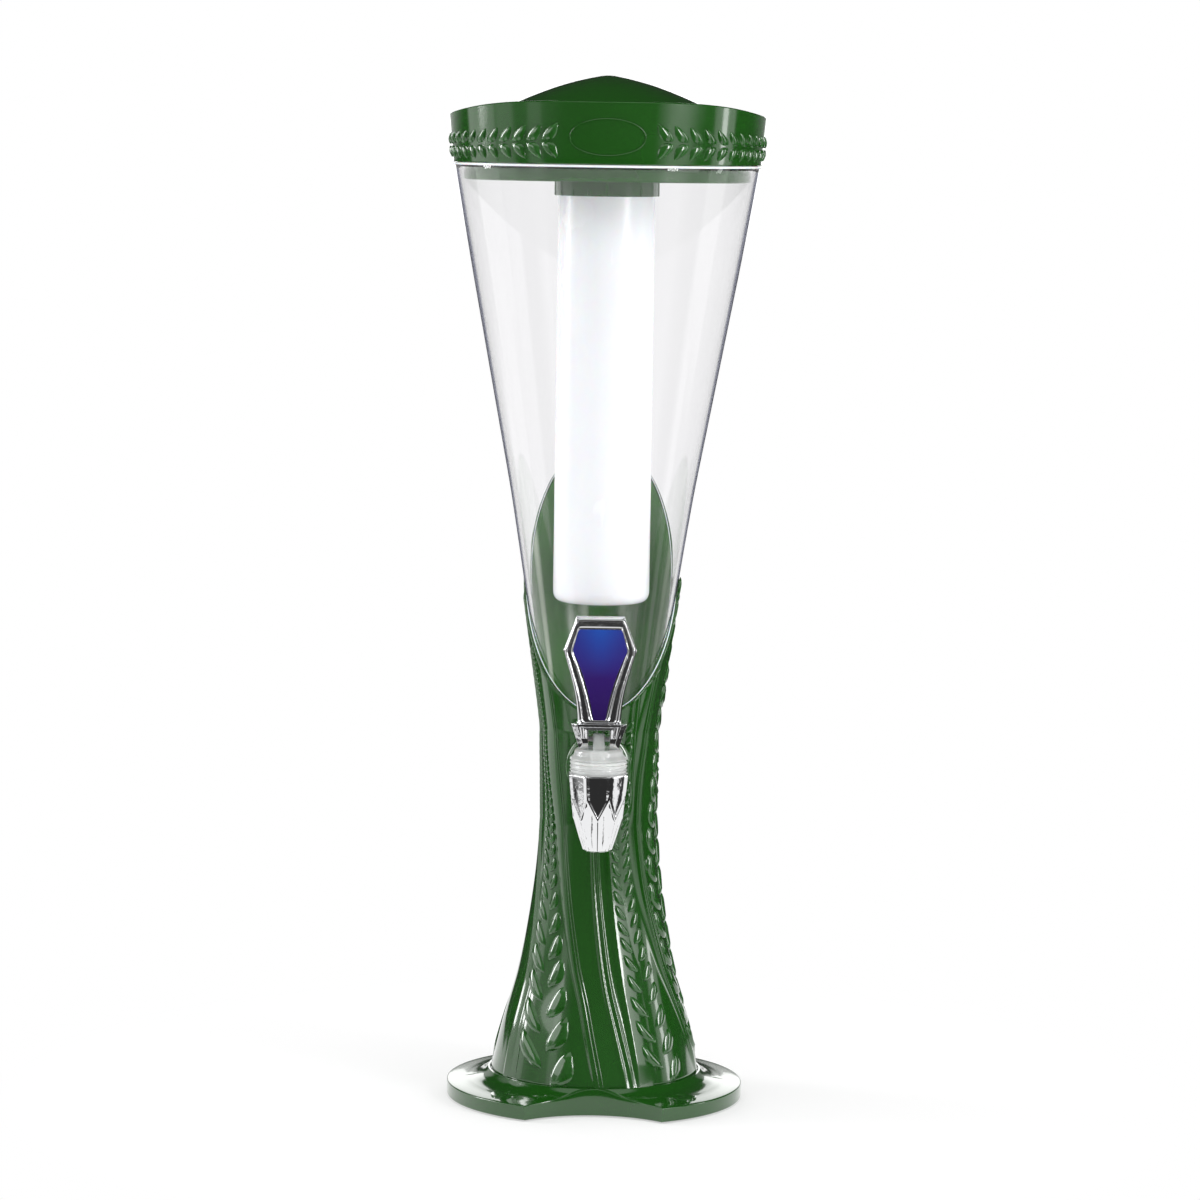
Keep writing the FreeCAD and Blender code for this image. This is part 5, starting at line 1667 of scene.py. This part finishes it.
LAMPS = (
    SoftLamp("left_soft", -80.0, 20.0, 2.2, (2.9, 0.9), 1.6),
    SoftLamp("left_strip", -100.0, 19.0, 2.15, (0.34, 1.36), 11.0),
    SoftLamp("right_strip", 49.0, 18.0, 2.2, (0.34, 1.38), 12.5),
    SoftLamp("right_soft", 62.0, 16.0, 2.3, (0.8, 1.4), 1.6),
    SoftLamp("far_right_strip", 92.0, 14.0, 2.2, (0.2, 1.5), 4.0),
    SoftLamp("back_left_soft", -160.0, 30.0, 2.2, (1.1, 0.9), 2.2, shows=False),
    SoftLamp("back_right_soft", 140.0, 26.0, 2.2, (0.9, 1.1), 2.2, shows=False),
    SoftLamp("back_low", 180.0, 9.0, 2.3, (1.7, 0.5), 1.6),
    SoftLamp("top_soft", 10.0, 76.0, 2.2, (1.5, 1.5), 2.0, shows=False),
    SoftLamp("front_soft", -8.0, 30.0, 3.2, (1.8, 1.2), 1.9, shows=False),
)


class Opening(NamedTuple):
    """Opening of the dark tent, in degrees, with the share that it lets through."""

    azimuth: float
    half: float
    low: float
    high: float
    soft: float = 3.0
    share: float = 1.0


OPENINGS = tuple(Opening(*row) for row in (
    (52, 6, -30, 44, 12), (88, 3, -30, -12), (93, 9, -10, 24), (-113, 16, -32, -10),
    (-85, 12, -19.5, -10, 40, 0.55), (-90, 5, -34, -24, 4), (-104, 14, -10, 40),
    (-84, 40, 4, 30, 12, 0.45), (0, 70, -4, 36, 20, 0.09), (-60, 20, -4, 36, 14, 0.24),
    (-50, 6, -32, -21, 5), (-80, 6, -12, 0, 6, 0.7), (-54, 4, -12, -3, 4, 0.6),
    (-50, 4, -2, 16, 4, 0.9), (0, 60, 42, 78, 12, 0.8), (-146, 20, 3, 12, 16, 0.55),
    (150, 18, 3, 9, 16, 0.28), (180, 20, 3, 10, 10, 0.6), (49, 20, -90, -26),
    (-49, 20, -90, -26), (180, 66, -90, -26), (180, 150, -90, -46)))


class Studio:
    """White studio: pale floor, soft lamps, dark reflection cards and the camera."""

    def __init__(self) -> None:
        """Builds the studio."""
        self.world()
        self.floor()
        for lamp in LAMPS:
            lamp.place()
        self.cards()
        self.camera()

    @staticmethod
    def world() -> None:
        """White surround to the eye and in gloss and glass, and a softer fill on the object."""
        world = bpy.data.worlds.new("studio")
        bpy.context.scene.world = world
        shader = Shader.blank(world)
        path = shader.node("LightPath").outputs
        seen = shader.maths("MAXIMUM", path["Is Camera Ray"], path["Is Glossy Ray"])
        seen = shader.maths("MAXIMUM", seen, path["Is Transmission Ray"])
        strength = shader.ramp(seen, 0.0, 1.0, 0.42, 1.0)
        back = shader.node("Background", Color=WHITE, Strength=strength)
        shader.node("OutputWorld", Surface=back.outputs[0])

    @staticmethod
    def floor() -> None:
        """Round pale floor that fades into the white surround away from the object."""
        ring = np.concatenate([np.linspace(0, 1, 40), [2.0, 4.0, 9.0, 30.0]]) / MM
        just_under = -0.02
        angle = np.linspace(0, 2 * np.pi, 96, endpoint=False)[None]
        grid = rows_round(angle, (ring[::-1, None], just_under))
        made = Patchwork("floor").add(grid, poles=(False, True))
        material = bpy.data.materials.new("pale_floor")
        shader = Shader.blank(material)
        away = shader.node("VectorMath", p_operation="LENGTH", in0=shader.place()).outputs["Value"]
        surface = shader.node("BsdfPrincipled", Base_Color=(0.93, 0.93, 0.93, 1.0), Roughness=0.7,
                              Specular_IOR_Level=0.2)
        glow = shader.node("Emission", Color=WHITE, Strength=1.0)
        path = shader.node("LightPath")
        seen = shader.maths("SUBTRACT", 1.0, path.outputs["Is Diffuse Ray"])
        share = shader.maths("MULTIPLY", shader.ramp(away, 0.10, 0.36, 0.5, 1.0), seen)
        mixed = shader.node("MixShader", Fac=share, in1=surface.outputs[0], in2=glow.outputs[0])
        shader.node("OutputMaterial", Surface=mixed.outputs[0])
        made.plain_object(material)

    @staticmethod
    def openings(shader: Shader) -> bpy.types.NodeSocket:
        """Mask of the openings in the dark tent: 1 where the direction from the tower's middle
        lies within an opening's azimuths and elevations, with soft borders.

        Args:
            shader: Builder of the tent's material.

        Returns:
            The mask.
        """
        x, y, z = shader.axes()
        azimuth = shader.maths("ARCTAN2", x, shader.maths("MULTIPLY", y, -1.0))
        rise = shader.maths("ARCTAN2", shader.maths("SUBTRACT", z, MIDDLE), shader.span(x, y))
        open_here = shader.maths("MULTIPLY", z, 0.0)
        for gap in OPENINGS:
            turn = shader.maths("SUBTRACT", azimuth, math.radians(gap.azimuth))
            turn = shader.node("Math", p_operation="WRAP", in0=turn, in1=math.pi, in2=-math.pi)
            across = shader.ramp(shader.maths("ABSOLUTE", turn.outputs[0]), math.radians(gap.half),
                                 math.radians(gap.half + gap.soft), gap.share, 0.0)
            centre = math.radians((gap.low + gap.high) / 2)
            reach, border = math.radians((gap.high - gap.low) / 2), math.radians(3.0)
            tall = shader.maths("ABSOLUTE", shader.maths("SUBTRACT", rise, centre))
            up = shader.ramp(tall, reach, reach + border, 1.0, 0.0)
            open_here = shader.maths("MAXIMUM", open_here, shader.maths("MULTIPLY", across, up))
        return open_here

    @classmethod
    def cards(cls) -> None:
        """Dark tent with openings, and its floor, so that the reflections have depth. Gloss and
        metal see all of it, and glass sees only its front."""
        material = bpy.data.materials.new("card_black")
        shader = Shader.blank(material)
        level = shader.ramp(shader.axes()[2], 0.2, 3.4, 0.03, 0.02)
        color = shader.node("CombineXYZ", X=level, Y=level, Z=level)
        glow = shader.node("Emission", Color=color.outputs[0], Strength=1.0)
        clear = shader.node("BsdfTransparent", Color=WHITE)
        mixed = shader.node("MixShader", Fac=cls.openings(shader), in1=glow.outputs[0],
                            in2=clear.outputs[0])
        shader.node("OutputMaterial", Surface=mixed.outputs[0])
        radius, foot, wall, top = 3600.0, 4.0, 12.0, 89.9
        parts = (("low", -180.0, 360.0, 0.0, wall, False),
                 ("front", -100.0, 200.0, wall, top, True),
                 ("back", 100.0, 160.0, wall, top, False))
        for name, start, span, low, high, seen_through in parts:
            angle = np.radians(start + span * np.linspace(0, 1, 60))[None]
            rise = np.radians(np.linspace(low, high, 20))[:, None]
            tent = turned(radius * np.cos(rise), angle, foot + radius * np.sin(rise))
            made = Patchwork("card_" + name).add(tent, wrap_cols=False)
            if name == "low":
                mat = rows_round(angle, (np.array([[120.0], [1200.0], [radius]]), 1.0))
                made.add(mat, wrap_cols=False)
            card = made.plain_object(material)
            card.visible_camera = card.visible_diffuse = card.visible_shadow = False
            card.visible_transmission = seen_through

    @staticmethod
    def camera() -> None:
        """Long lens from the front, a little above the lid's level, with a slight roll."""
        tilt, roll = math.radians(6.14), math.radians(0.85)
        ahead = Vector((0, math.cos(tilt), -math.sin(tilt)))
        right = Vector((1, 0, 0))
        up = right.cross(ahead)
        side = right * math.cos(roll) + up * math.sin(roll)
        top = up * math.cos(roll) - right * math.sin(roll)
        data = bpy.data.cameras.new("camera")
        data.lens, data.sensor_width, data.sensor_fit = 131.1, 36.0, "HORIZONTAL"
        data.shift_x = -1 / 1200
        target, distance = Vector((0, 0, 300.9 * MM)), 2616.0
        camera = bpy.data.objects.new("camera", data)
        bpy.context.scene.collection.objects.link(camera)
        matrix = Matrix((side, top, -ahead)).transposed().to_4x4()
        camera.matrix_world = Matrix.Translation(target - ahead * distance * MM) @ matrix
        bpy.context.scene.camera = camera


def dress_nodes() -> None:
    """Gives every CAD node its finish, also the ones that a piece replaces."""
    plan = {
        "rubber_feet": RUBBER, "base_screws": STEEL, "valve_stem": STEM,
        "shank_washer_outer": SILICONE, "shank_washer_inner": SILICONE, "shank_nut": NYLON,
        "bonnet_gasket": SILICONE, "seat_cup": SILICONE, "handle_pin": STEEL, "column": GREEN,
        "base_plate": GREEN, "lid": GREEN, "lid_dome": GREEN, "vessel": CLEAR,
        "ice_tube": FROSTED, "tap_body": CHROME, "tap_handle": CHROME, "handle_badge": BADGE,
        "tap_bonnet": BONNET, "stem_spring": STEEL,
    }
    for name, finish in plan.items():
        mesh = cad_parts[name].data
        mesh.materials.clear()
        mesh.materials.append(finish.material())
        log.info("%s wears %s", name, finish.name)


def main() -> None:
    """Builds the studio and every sub-assembly in order."""
    logging.basicConfig(level=logging.INFO, format="%(name)s: %(message)s")
    Studio()
    dress_nodes()
    vessel = Vessel()
    for part in (Base(), Column(vessel), vessel, Lid(), IceTube(), Tap()):
        part.build()
        log.info("%s done", type(part).__name__)
    scene = bpy.context.scene
    scene.view_settings.view_transform = "Standard"


if __name__ == "__main__":
    main()
